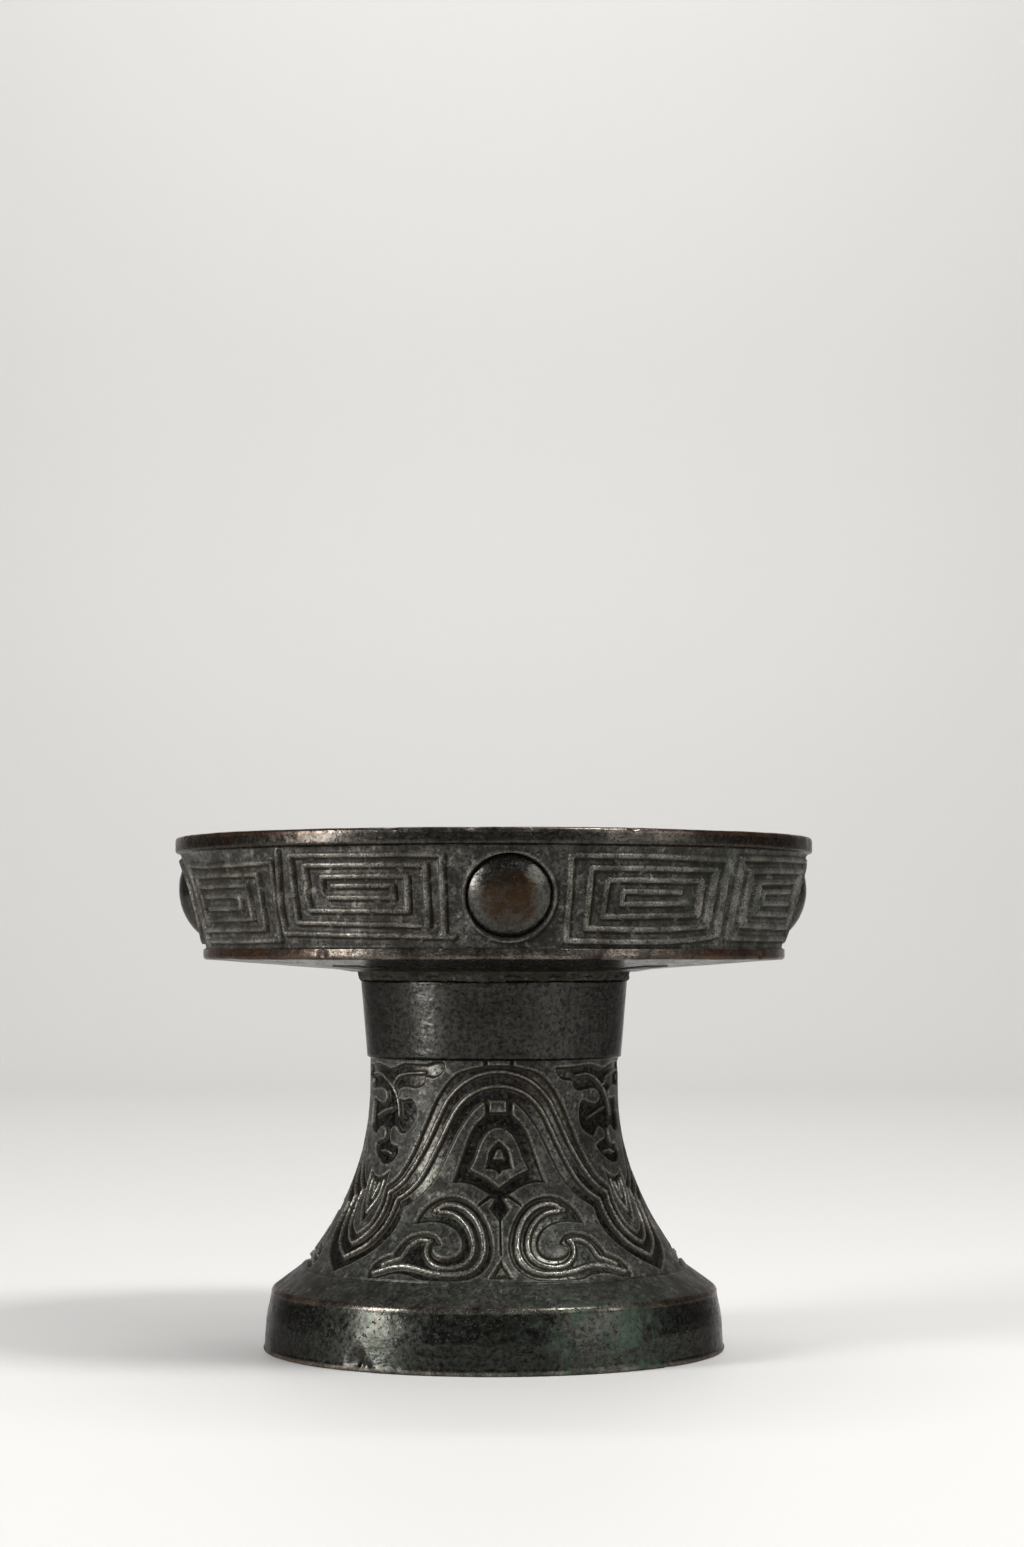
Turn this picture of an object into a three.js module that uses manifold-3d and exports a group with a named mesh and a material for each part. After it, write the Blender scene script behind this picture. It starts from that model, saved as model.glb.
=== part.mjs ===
// A ritual food vessel: a shallow bronze dish with canted walls on a hollow, flaring pedestal.
// Millimetres, +Z up, front towards -Y. The origin is the centre of the foot's resting face.
// The dish and the pedestal are two castings. The dish's spigot stands in the pedestal's head,
// and a ring of joint metal fills the seam and shows outside as a bead. Four bosses sit in seats
// in the dish's wall, each held by a tenon, and bronze spacers are caught in the floor and stem.
import * as THREE from "three";
import { mergeVertices } from "three/addons/utils/BufferGeometryUtils.js";
import Module from "manifold-3d";

// Pedestal
const FOOT_RADIUS = 61.6;
const FOOT_EDGE = 0.6;
const FOOT_BAND_HEIGHT = 16.5;
const FOOT_BAND_LEAN = 2.0;
const FOOT_WALL = 4.4;
const SHOULDER_RUN = 8.0;
const SHOULDER_RISE = 6.0;
const WAIST_RADIUS = 33.3;
const WAIST_HEIGHT = 72.0;
const FLARE_POWER = 2.25;
const COLLAR_BOTTOM = 77.8;
const COLLAR_STEP = 0.5;
const COLLAR_SPREAD = 1.7;
const STEM_HEIGHT = 98.8;
const STEM_WALL = 3.0;
const PEDESTAL_TURN = 2.5;

// Dish
const DISH_RADIUS = 85.0;
const RIM_BEAD_HEIGHT = 4.6;
const RIM_BEAD_PROUD = 1.2;
const RIM_EDGE = 0.9;
const WALL_HEIGHT = 24.8;
const WALL_CANT = 6.6;
const DISH_WALL = 3.3;
const FLANGE_HEIGHT = 3.2;
const FLANGE_PROUD = 0.5;
const UNDERSIDE_RISE = 3.0;
const UNDERSIDE_FLAT_RADIUS = 38.0;
const FLOOR_THICKNESS = 3.4;
const FLOOR_FLAT_RADIUS = 40.0;
const FLOOR_CORNER = 4.0;
const DISH_TURN = 3.0;

// Joint between the two castings
const SPIGOT_LENGTH = 6.0;
const SPIGOT_WALL = 3.0;
const JOINT_SKIRT = 1.3;
const JOINT_SKIRT_DEPTH = 4.2;
const JOINT_THICKNESS = 1.0;
const JOINT_BEAD_PROUD = 1.2;
const JOINT_BEAD_DROP = 1.6;

// Bosses
const BOSS_COUNT = 4;
const BOSS_RADIUS = 10.2;
const BOSS_DOME_HEIGHT = 3.0;
const BOSS_EDGE_HEIGHT = -0.8;
const BOSS_SEAT_DEPTH = 1.9;
const TENON_RADIUS = 3.0;
const TENON_SHORT_OF_WALL = 0.2;
const MOAT_WIDTH = 0.3;
const MOAT_DEPTH = 1.0;
const RING_WIDTH = 0.9;
const RING_PROUD = 0.7;

// Spacers caught in the castings
const FLOOR_SPACER_COUNT = 4;
const FLOOR_SPACER_SIDE = 9.0;
const FLOOR_SPACER_CIRCLE = 52.0;
const FLOOR_SPACER_ANGLE = 45;
const STEM_SPACER_COUNT = 3;
const STEM_SPACER_WIDTH = 5.0;
const STEM_SPACER_HEIGHT = 6.0;
const STEM_SPACER_ANGLE = 14;

// Sunk ornament of the pedestal, repeated three times round the flare. The repeat at the front is
// a little narrower than the other two.
const SUNK_DEPTH = 1.0;
const REPEAT_COUNT = 3;
const FRONT_REPEAT_ANGLE = 114;

// Clearance between pieces that meet, and how finely round shapes are stepped
const GAP = 0.3;
const TURNED_STEPS = 72;
const PEDESTAL_STEPS = 60;
const FLARE_STEPS = 7;
const DOME_STEPS = 6;
const BOSS_STEPS = 32;
const CORNER_STEPS = 4;
const OVERSHOOT = 5;
const MERGE_TOLERANCE = 1e-4;

// Heights and radii that follow from the sizes above
const SHOULDER_TOP = FOOT_BAND_HEIGHT + SHOULDER_RISE;
const BAND_TOP_RADIUS = FOOT_RADIUS - FOOT_BAND_LEAN;
const FLARE_FOOT_RADIUS = BAND_TOP_RADIUS - SHOULDER_RUN;
const ORNAMENT_TOP = COLLAR_BOTTOM - COLLAR_STEP;
const COLLAR_RADIUS = WAIST_RADIUS + COLLAR_STEP;
const HEAD_RADIUS = COLLAR_RADIUS + COLLAR_SPREAD;
const HEAD_BORE = HEAD_RADIUS - STEM_WALL;
const JOINT_BOTTOM = STEM_HEIGHT + GAP;
const UNDERSIDE = JOINT_BOTTOM + JOINT_THICKNESS + GAP;
const FLOOR = UNDERSIDE + FLOOR_THICKNESS;
const FLANGE_BOTTOM = UNDERSIDE + UNDERSIDE_RISE;
const WALL_BOTTOM = FLANGE_BOTTOM + FLANGE_HEIGHT;
const WALL_TOP = WALL_BOTTOM + WALL_HEIGHT;
const RIM = WALL_TOP + RIM_BEAD_HEIGHT;
const WALL_TOP_RADIUS = DISH_RADIUS - RIM_BEAD_PROUD;
const WALL_BOTTOM_RADIUS = WALL_TOP_RADIUS - WALL_CANT;
const WALL_SLOPE = WALL_CANT / WALL_HEIGHT;
const WALL_LEAN = Math.atan(WALL_SLOPE);
const BOSS_HEIGHT = (WALL_BOTTOM + WALL_TOP) / 2;

// One repeat of the sunk ornament, right of its middle. Points are in percent: across, of half the
// repeat's width, and up, of the height between the shoulder and the collar.
const WAVE_UPPER_EDGE = [
  [0, 99], [18, 98], [35, 94], [44, 88], [53, 80], [61, 68], [70, 55], [79, 46], [88, 41],
  [87, 34], [90, 25], [95, 21], [100, 19],
];
const WAVE_LOWER_EDGE = [
  [100, 2], [87, 7], [77, 13], [69, 20], [67, 27], [66, 32],
  [56, 37], [46, 46], [37, 59], [30, 68], [20, 77], [12, 81],
];
const MOAT_EDGE = [[12, 75], [19, 70], [25, 63], [29, 54], [34, 44], [19, 43], [7, 39], [0, 27]];
const EYE = [[0, 69], [8, 67], [14, 62], [18, 54], [21, 50], [9, 46], [0, 42]];
const SCROLL = [
  [55, 25], [48, 34], [39, 37], [30, 38], [21, 36], [13, 32], [7, 25], [5, 18], [5, 11], [8, 6],
  [26, 1], [49, 3], [72, 1], [72, 8], [63, 11], [57, 19], [49, 21], [41, 21], [34, 16],
  [37, 12], [25, 12], [23, 19], [36, 26],
];

// The leaves over each trough of the wave, in the same percent, from the trough.
const LEAVES = [
  [-51, 97], [-18, 98], [0, 96], [16, 99], [47, 99], [53, 98], [45, 92], [18, 88], [9, 82],
  [25, 82], [30, 76], [28, 70], [21, 66], [9, 69], [4, 65], [14, 59], [15, 55], [10, 52],
  [-4, 53], [-15, 60], [-3, 63], [-10, 68], [-22, 66], [-29, 69], [-30, 75], [-24, 82],
  [-8, 80], [-6, 85], [-22, 86], [-34, 88],
];

const wasm = await Module();
wasm.setup();

function wallRadius(height) {
  return WALL_BOTTOM_RADIUS + (height - WALL_BOTTOM) * WALL_SLOPE;
}

function collarRadius(height) {
  const share = (height - COLLAR_BOTTOM) / (STEM_HEIGHT - COLLAR_BOTTOM);
  return COLLAR_RADIUS + COLLAR_SPREAD * share;
}

// A closed geometry as a solid that can be cut and joined.
function solidFrom(geometry) {
  const bare = new THREE.BufferGeometry();
  bare.setAttribute("position", geometry.getAttribute("position").clone());
  bare.setIndex(geometry.getIndex());
  const merged = mergeVertices(bare, MERGE_TOLERANCE);
  const corners = merged.index.array;
  const kept = [];
  for (let i = 0; i < corners.length; i += 3) {
    const [a, b, c] = corners.slice(i, i + 3);
    if (a !== b && b !== c && c !== a) kept.push(a, b, c);
  }
  const mesh = new wasm.Mesh({
    numProp: 3,
    vertProperties: merged.attributes.position.array,
    triVerts: new Uint32Array(kept),
  });
  return new wasm.Manifold(mesh);
}

function geometryFrom(solid) {
  const mesh = solid.getMesh();
  const geometry = new THREE.BufferGeometry();
  geometry.setAttribute("position", new THREE.BufferAttribute(mesh.vertProperties, 3));
  geometry.setIndex(new THREE.BufferAttribute(mesh.triVerts, 1));
  geometry.computeVertexNormals();
  return geometry;
}

// A profile of [radius, height] pairs, turned about Z. It runs anticlockwise, seen with the
// radius to the right and the height up.
function turned(profile, steps = TURNED_STEPS) {
  const points = profile.map(([radius, height]) => new THREE.Vector2(radius, height));
  if (profile[0][0] > 0) points.push(points[0].clone());
  return new THREE.LatheGeometry(points, steps).rotateX(Math.PI / 2);
}

function cylinder(radius, bottom, top, steps = BOSS_STEPS) {
  const geometry = new THREE.CylinderGeometry(radius, radius, top - bottom, steps);
  return geometry.rotateX(Math.PI / 2).translate(0, 0, (top + bottom) / 2);
}

// A place on the vessel at an angle from the front, its own Z pointing out along the wall's normal.
function outwardPlace(angle, radius, height, lean) {
  const turn = THREE.MathUtils.degToRad(angle);
  const place = new THREE.Object3D();
  place.position.set(radius * Math.sin(turn), -radius * Math.cos(turn), height);
  const outward = new THREE.Vector3(Math.sin(turn), -Math.cos(turn), -Math.tan(lean)).normalize();
  place.quaternion.setFromUnitVectors(new THREE.Vector3(0, 0, 1), outward);
  place.updateMatrix();
  return place;
}

function arc(centreRadius, centreHeight, radius, fromDegrees, toDegrees, steps) {
  const points = [];
  for (let i = 0; i <= steps; i++) {
    const turn = THREE.MathUtils.degToRad(fromDegrees + ((toDegrees - fromDegrees) * i) / steps);
    points.push([centreRadius + radius * Math.cos(turn), centreHeight + radius * Math.sin(turn)]);
  }
  return points;
}

// The stem's flare from the shoulder up to the waist, drawn in by an inset.
function flare(inset, bottom) {
  const points = [];
  for (let i = 0; i <= FLARE_STEPS; i++) {
    const height = bottom + ((WAIST_HEIGHT - bottom) * i) / FLARE_STEPS;
    const share = (WAIST_HEIGHT - height) / (WAIST_HEIGHT - SHOULDER_TOP);
    const spread = (FLARE_FOOT_RADIUS - WAIST_RADIUS) * share ** FLARE_POWER;
    points.push([WAIST_RADIUS + spread - inset, height]);
  }
  return points;
}

function pedestalProfile() {
  const outside = [
    [FOOT_RADIUS - FOOT_EDGE, 0],
    [FOOT_RADIUS, FOOT_EDGE],
    [BAND_TOP_RADIUS, FOOT_BAND_HEIGHT],
    ...flare(0, SHOULDER_TOP),
    [WAIST_RADIUS, COLLAR_BOTTOM - COLLAR_STEP],
    [COLLAR_RADIUS, COLLAR_BOTTOM],
    [HEAD_RADIUS, STEM_HEIGHT],
  ];
  const inside = [
    ...flare(STEM_WALL, SHOULDER_TOP - STEM_WALL),
    [WAIST_RADIUS - STEM_WALL, COLLAR_BOTTOM],
    [HEAD_BORE, STEM_HEIGHT - SPIGOT_LENGTH],
    [HEAD_BORE, STEM_HEIGHT],
  ].reverse();
  const footCavity = [
    [FOOT_RADIUS - FOOT_WALL, FOOT_BAND_HEIGHT - FOOT_WALL],
    [FOOT_RADIUS - FOOT_WALL, 0],
  ];
  return [...outside, ...inside, ...footCavity];
}

function dishProfile() {
  const spigotRadius = HEAD_BORE - GAP - JOINT_SKIRT - GAP;
  const spigotBottom = UNDERSIDE - SPIGOT_LENGTH;
  const innerBottomRadius = WALL_BOTTOM_RADIUS - DISH_WALL;
  const innerTopRadius = WALL_TOP_RADIUS - DISH_WALL;
  const cornerHeight = FLANGE_BOTTOM + FLOOR_THICKNESS + FLOOR_CORNER;
  const cornerRadius = innerBottomRadius + (cornerHeight - WALL_BOTTOM) * WALL_SLOPE;
  const underside = [
    [0, UNDERSIDE],
    [spigotRadius - SPIGOT_WALL, UNDERSIDE],
    [spigotRadius - SPIGOT_WALL, spigotBottom],
    [spigotRadius, spigotBottom],
    [spigotRadius, UNDERSIDE],
    [UNDERSIDE_FLAT_RADIUS, UNDERSIDE],
  ];
  const outside = [
    [WALL_BOTTOM_RADIUS, FLANGE_BOTTOM],
    [WALL_BOTTOM_RADIUS + FLANGE_PROUD, FLANGE_BOTTOM + FLANGE_HEIGHT / 3],
    [WALL_BOTTOM_RADIUS + FLANGE_PROUD, FLANGE_BOTTOM + (FLANGE_HEIGHT * 2) / 3],
    [WALL_BOTTOM_RADIUS, WALL_BOTTOM],
    [WALL_TOP_RADIUS, WALL_TOP],
    [DISH_RADIUS, WALL_TOP + RIM_EDGE],
    [DISH_RADIUS, RIM - RIM_EDGE],
    [DISH_RADIUS - RIM_EDGE, RIM],
  ];
  const corner = arc(cornerRadius - FLOOR_CORNER, cornerHeight, FLOOR_CORNER, 0, -75, CORNER_STEPS);
  const inside = [
    [innerTopRadius + RIM_EDGE, RIM],
    [innerTopRadius, RIM - RIM_EDGE],
    [innerTopRadius, WALL_TOP],
    ...corner,
    [FLOOR_FLAT_RADIUS, FLOOR],
    [0, FLOOR],
  ];
  return [...underside, ...outside, ...inside];
}

// The solid inside the wall's outer face, moved out or in by an offset.
function wallCone(offset) {
  const bottom = WALL_BOTTOM - OVERSHOOT;
  const top = WALL_TOP + OVERSHOOT;
  return solidFrom(
    turned([
      [0, bottom],
      [wallRadius(bottom) + offset, bottom],
      [wallRadius(top) + offset, top],
      [0, top],
    ]),
  );
}

function bossPlace(index) {
  const angle = (360 / BOSS_COUNT) * index;
  return outwardPlace(angle, wallRadius(BOSS_HEIGHT), BOSS_HEIGHT, WALL_LEAN);
}

// Each boss has a seat, a tenon hole, a sunk moat round it and a raised ring round that.
function cutBossSeats(dish) {
  const seatRadius = BOSS_RADIUS + GAP;
  const moatRadius = seatRadius + MOAT_WIDTH;
  const seatFloor = -BOSS_SEAT_DEPTH;
  const raised = wallCone(RING_PROUD);
  const sunk = wallCone(-MOAT_DEPTH);
  let shaped = dish;
  for (let i = 0; i < BOSS_COUNT; i++) {
    const matrix = bossPlace(i).matrix;
    const post = (radius, bottom, top) =>
      solidFrom(cylinder(radius, bottom, top).applyMatrix4(matrix));
    const ring = post(moatRadius + RING_WIDTH, seatFloor, OVERSHOOT)
      .subtract(post(moatRadius, -OVERSHOOT, OVERSHOOT * 2))
      .intersect(raised);
    const moat = post(moatRadius, -OVERSHOOT / 2, OVERSHOOT).subtract(sunk);
    shaped = shaped
      .add(ring)
      .subtract(moat)
      .subtract(post(seatRadius, seatFloor, OVERSHOOT))
      .subtract(post(TENON_RADIUS + GAP, -OVERSHOOT, 0));
  }
  return shaped;
}

function bossGeometry() {
  const seatFloor = -BOSS_SEAT_DEPTH + GAP;
  const tenonEnd = TENON_SHORT_OF_WALL - DISH_WALL * Math.cos(WALL_LEAN);
  const rise = BOSS_DOME_HEIGHT - BOSS_EDGE_HEIGHT;
  const domeRadius = (BOSS_RADIUS ** 2 + rise ** 2) / (2 * rise);
  const domeCentre = BOSS_DOME_HEIGHT - domeRadius;
  const edgeAngle = THREE.MathUtils.radToDeg(Math.acos(BOSS_RADIUS / domeRadius));
  const dome = arc(0, domeCentre, domeRadius, edgeAngle, 90, DOME_STEPS);
  dome[dome.length - 1][0] = 0;
  const profile = [
    [0, tenonEnd],
    [TENON_RADIUS, tenonEnd],
    [TENON_RADIUS, seatFloor],
    [BOSS_RADIUS, seatFloor],
    ...dome,
  ];
  return geometryFrom(solidFrom(turned(profile, BOSS_STEPS)));
}

function outline(points) {
  return points.map(([across, up]) => new THREE.Vector2(across, up));
}

function mirrored(points) {
  return points.map((point) => new THREE.Vector2(-point.x, point.y)).reverse();
}

// A half outline that starts and ends on the middle line, joined to its mirror image.
function wholeOutline(points) {
  const half = outline(points);
  return [...half, ...mirrored(half.slice(1, -1))];
}

// A block that reaches in from outside, past the sunk floor, through a shape in percent.
function cutter(shape, middleAngle, halfAngle) {
  const innerRadius = WAIST_RADIUS - SUNK_DEPTH - OVERSHOOT;
  const depth = FLARE_FOOT_RADIUS + OVERSHOOT - innerRadius;
  const geometry = new THREE.ExtrudeGeometry(shape, { depth, bevelEnabled: false });
  const place = geometry.getAttribute("position");
  for (let i = 0; i < place.count; i++) {
    const turn = THREE.MathUtils.degToRad(middleAngle + (halfAngle * place.getX(i)) / 100);
    const height = SHOULDER_TOP + ((ORNAMENT_TOP - SHOULDER_TOP) * place.getY(i)) / 100;
    const radius = innerRadius + place.getZ(i);
    place.setXYZ(i, radius * Math.sin(turn), -radius * Math.cos(turn), height);
  }
  return solidFrom(geometry);
}

// Sinks the wave with the moat round its eye, the scrolls and the leaves into the flare.
function sinkOrnament(casting) {
  const wave = new THREE.Shape(
    wholeOutline([...WAVE_UPPER_EDGE, ...WAVE_LOWER_EDGE, ...MOAT_EDGE]),
  );
  wave.holes.push(new THREE.Path(wholeOutline(EYE).reverse()));
  const scroll = outline(SCROLL);
  const onRepeat = [wave, new THREE.Shape(scroll), new THREE.Shape(mirrored(scroll))];
  const leaves = new THREE.Shape(outline(LEAVES));
  const frontHalf = FRONT_REPEAT_ANGLE / 2;
  const otherHalf = (360 - FRONT_REPEAT_ANGLE) / (REPEAT_COUNT - 1) / 2;
  const cutters = [];
  let edge = -frontHalf;
  for (let i = 0; i < REPEAT_COUNT; i++) {
    const half = i === 0 ? frontHalf : otherHalf;
    cutters.push(...onRepeat.map((shape) => cutter(shape, edge + half, half)));
    edge += 2 * half;
    cutters.push(cutter(leaves, edge, 180 / REPEAT_COUNT));
  }
  const core = [
    [0, FOOT_BAND_HEIGHT],
    [FLARE_FOOT_RADIUS - SUNK_DEPTH, FOOT_BAND_HEIGHT],
    ...flare(SUNK_DEPTH, SHOULDER_TOP),
    [WAIST_RADIUS - SUNK_DEPTH, STEM_HEIGHT],
    [0, STEM_HEIGHT],
  ];
  const drawn = cutters.reduce((joined, block) => joined.add(block));
  return casting.subtract(drawn.subtract(solidFrom(turned(core, PEDESTAL_STEPS))));
}

// A ring with a skirt inside the pedestal's head, a flat web in the seam and a bead outside.
function jointProfile() {
  const skirtOuter = HEAD_BORE - GAP;
  const skirtInner = skirtOuter - JOINT_SKIRT;
  const webTop = JOINT_BOTTOM + JOINT_THICKNESS;
  const beadInner = HEAD_RADIUS + GAP;
  return [
    [skirtInner, JOINT_BOTTOM - JOINT_SKIRT_DEPTH],
    [skirtOuter, JOINT_BOTTOM - JOINT_SKIRT_DEPTH],
    [skirtOuter, JOINT_BOTTOM],
    [beadInner, JOINT_BOTTOM],
    [beadInner, JOINT_BOTTOM - JOINT_BEAD_DROP],
    [beadInner + JOINT_BEAD_PROUD, JOINT_BOTTOM],
    [beadInner + JOINT_BEAD_PROUD, webTop],
    [skirtInner, webTop],
  ];
}

// Cuts a spacer's pocket through a casting, and gives the spacer as what was cut, less the gap.
function catchSpacer(casting, block) {
  const spacer = casting.intersect(block(0));
  return [casting.subtract(block(GAP)), spacer];
}

function floorBlock(index) {
  const angle = FLOOR_SPACER_ANGLE + (360 / FLOOR_SPACER_COUNT) * index;
  return (grow) => {
    const side = FLOOR_SPACER_SIDE + 2 * grow;
    const depth = FLANGE_HEIGHT + FLOOR_THICKNESS + 2 * OVERSHOOT;
    const block = new THREE.BoxGeometry(side, side, depth);
    block.translate(0, -FLOOR_SPACER_CIRCLE, FLOOR);
    return solidFrom(block.rotateZ(THREE.MathUtils.degToRad(angle)));
  };
}

function stemBlock(index) {
  const angle = STEM_SPACER_ANGLE + (360 / STEM_SPACER_COUNT) * index;
  const middle = (COLLAR_BOTTOM + STEM_HEIGHT) / 2;
  return (grow) => {
    const width = STEM_SPACER_WIDTH + 2 * grow;
    const height = STEM_SPACER_HEIGHT + 2 * grow;
    const block = new THREE.BoxGeometry(width, STEM_WALL + 2 * OVERSHOOT, height);
    block.translate(0, -collarRadius(middle), middle);
    return solidFrom(block.rotateZ(THREE.MathUtils.degToRad(angle)));
  };
}

function piece(name, shape, material) {
  const geometry = shape.isBufferGeometry ? shape : geometryFrom(shape);
  const mesh = new THREE.Mesh(geometry, material);
  mesh.name = name;
  return mesh;
}

function bronze(name, colour, roughness) {
  return new THREE.MeshStandardMaterial({ name, color: colour, roughness, metalness: 0.85 });
}

const darkBronze = bronze("dark_bronze", 0x2b2822, 0.45);
const wornBronze = bronze("worn_bronze", 0x4a3423, 0.4);
const jointMetal = bronze("joint_metal", 0x3a3526, 0.75);
const spacerBronze = bronze("spacer_bronze", 0x35302a, 0.55);

function pedestalGroup() {
  const group = new THREE.Group();
  group.rotation.z = THREE.MathUtils.degToRad(PEDESTAL_TURN);
  let casting = sinkOrnament(solidFrom(turned(pedestalProfile(), PEDESTAL_STEPS)));
  for (let i = 0; i < STEM_SPACER_COUNT; i++) {
    const [cut, spacer] = catchSpacer(casting, stemBlock(i));
    casting = cut;
    group.add(piece(`stem_spacer_${i + 1}`, spacer, spacerBronze));
  }
  group.add(piece("pedestal", casting, darkBronze));
  const joint = solidFrom(turned(jointProfile(), PEDESTAL_STEPS));
  group.add(piece("joint_ring", joint, jointMetal));
  return group;
}

function dishGroup() {
  const group = new THREE.Group();
  group.rotation.z = THREE.MathUtils.degToRad(DISH_TURN);
  let casting = cutBossSeats(solidFrom(turned(dishProfile())));
  for (let i = 0; i < FLOOR_SPACER_COUNT; i++) {
    const [cut, spacer] = catchSpacer(casting, floorBlock(i));
    casting = cut;
    group.add(piece(`floor_spacer_${i + 1}`, spacer, spacerBronze));
  }
  group.add(piece("dish", casting, darkBronze));
  for (let i = 0; i < BOSS_COUNT; i++) {
    const boss = piece(`boss_${i + 1}`, bossGeometry(), wornBronze);
    const place = bossPlace(i);
    boss.position.copy(place.position);
    boss.quaternion.copy(place.quaternion);
    group.add(boss);
  }
  return group;
}

const vessel = new THREE.Group();
vessel.add(pedestalGroup(), dishGroup());

export default vessel;
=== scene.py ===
"""A bronze ritual food vessel: a shallow dish with squared spirals on a hollow, waved pedestal.

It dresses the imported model. The two castings are turned from their profiles by Geometry Nodes,
which also work the drawn ornament into their surfaces. All sizes are in metres in the scene.
"""

import math
import typing

import bmesh
import bpy
import numpy as np
from mathutils import Matrix, Vector
from mathutils.geometry import interpolate_bezier


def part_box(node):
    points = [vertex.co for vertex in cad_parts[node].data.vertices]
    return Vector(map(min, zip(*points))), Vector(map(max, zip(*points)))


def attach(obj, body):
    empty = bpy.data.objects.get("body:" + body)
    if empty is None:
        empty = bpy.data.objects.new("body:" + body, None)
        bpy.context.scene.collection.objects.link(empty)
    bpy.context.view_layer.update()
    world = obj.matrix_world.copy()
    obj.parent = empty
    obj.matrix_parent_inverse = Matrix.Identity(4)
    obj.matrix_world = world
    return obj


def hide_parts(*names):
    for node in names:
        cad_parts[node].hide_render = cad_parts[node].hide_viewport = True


bl_info = {
    "name": "Bronze food vessel",
    "version": (1, 0, 0),
    "blender": (4, 5, 0),
    "location": "3D View > Sidebar > Vessel",
    "description": "Builds a cast bronze stemmed dish with worked-in ornament and a worn patina",
    "category": "Add Mesh",
}

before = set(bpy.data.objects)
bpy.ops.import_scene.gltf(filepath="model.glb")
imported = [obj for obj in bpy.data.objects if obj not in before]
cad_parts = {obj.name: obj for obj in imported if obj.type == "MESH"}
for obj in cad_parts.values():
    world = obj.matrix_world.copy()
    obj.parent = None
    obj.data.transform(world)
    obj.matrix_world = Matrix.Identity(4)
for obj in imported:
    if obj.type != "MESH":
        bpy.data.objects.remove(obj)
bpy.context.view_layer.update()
DISH_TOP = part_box("dish")[1]
PEDESTAL_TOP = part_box("pedestal")[1]

MM = 0.001
BODY = "root"
MERGE_DISTANCE = 1e-6

# Degrees from a crest of the drawn wave to the trough beside it
WAVE_HALF = 57

# Follows a point of a stroke where the stroke turns a sharp corner
SHARP = True


# Properties that a user may change

def length(name, millimetres, description):
    return bpy.props.FloatProperty(
        name=name, description=description, default=millimetres * MM, precision=5,
        subtype="DISTANCE", unit="LENGTH",
    )


def turn(name, degrees, description):
    return bpy.props.FloatProperty(
        name=name, description=description, default=math.radians(degrees), subtype="ANGLE",
        unit="ROTATION",
    )


def share(name, value, description):
    return bpy.props.FloatProperty(
        name=name, description=description, default=value, min=0, subtype="FACTOR",
    )


def colour(name, value, description):
    return bpy.props.FloatVectorProperty(
        name=name, description=description, default=value, size=3, min=0, max=1, subtype="COLOR",
    )


class PedestalSizes(bpy.types.PropertyGroup):
    """Sizes of the pedestal casting."""

    foot_radius: length("Foot radius", PEDESTAL_TOP.x / MM, "Radius of the foot band at the ground")
    foot_band: length("Foot band", 16.5, "Height of the plain foot band")
    foot_lean: length("Foot lean", 2.0, "How far the foot band leans in over its height")
    foot_wall: length("Foot wall", 4.4, "Thickness of the foot band")
    shoulder_run: length("Shoulder run", 8.0, "Width of the sloping shoulder over the foot band")
    shoulder_rise: length("Shoulder rise", 6.0, "Height of the sloping shoulder")
    waist_radius: length("Waist radius", 33.3, "Radius of the stem at its narrowest")
    waist_height: length("Waist height", 72.0, "Height at which the flare becomes straight")
    collar_bottom: length("Collar bottom", 77.8, "Height at which the plain collar starts")
    collar_step: length("Collar step", 0.5, "How far the collar stands out from the stem")
    collar_spread: length("Collar spread", 1.7, "How far the collar widens up to the stem's head")
    stem_height: length("Stem height", PEDESTAL_TOP.z / MM, "Height of the stem's head")
    stem_wall: length("Stem wall", 3.0, "Thickness of the stem")
    turned_by: turn("Turn", 2.5, "Turn of the wave's crest from the front")
    front_half: turn("Front half", WAVE_HALF, "Half the width of the front wave, which is the narrowest")


class DishSizes(bpy.types.PropertyGroup):
    """Sizes of the dish casting."""

    rim_radius: length("Rim radius", DISH_TOP.x / MM, "Outer radius of the rim bead")
    rim_height: length("Rim height", DISH_TOP.z / MM, "Height of the rim over the ground")
    bead_height: length("Rim bead", 4.6, "Height of the rim bead")
    bead_proud: length("Bead proud", 1.2, "How far the rim bead stands out")
    wall_height: length("Wall height", 24.8, "Height of the ornamented wall")
    wall_cant: length("Wall cant", 6.6, "How far the wall leans out over its height")
    wall_thick: length("Wall", 3.3, "Thickness of the wall")
    flange_height: length("Flange height", 3.2, "Height of the flange under the wall")
    flange_proud: length("Flange proud", 0.5, "How far the flange stands out")
    floor_thick: length("Floor", 3.4, "Thickness of the floor")
    under_rise: length("Underside rise", 3.0, "Rise of the underside from the stem to the flange")
    spigot_radius: length("Spigot radius", 30.6, "Outer radius of the spigot in the stem")
    spigot_length: length("Spigot length", 6.0, "How far the spigot reaches into the stem")
    turned_by: turn("Turn", 3, "Turn of the front boss from the front")
    bosses: bpy.props.IntProperty(name="Bosses", description="Bosses round the wall", default=4)


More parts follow.
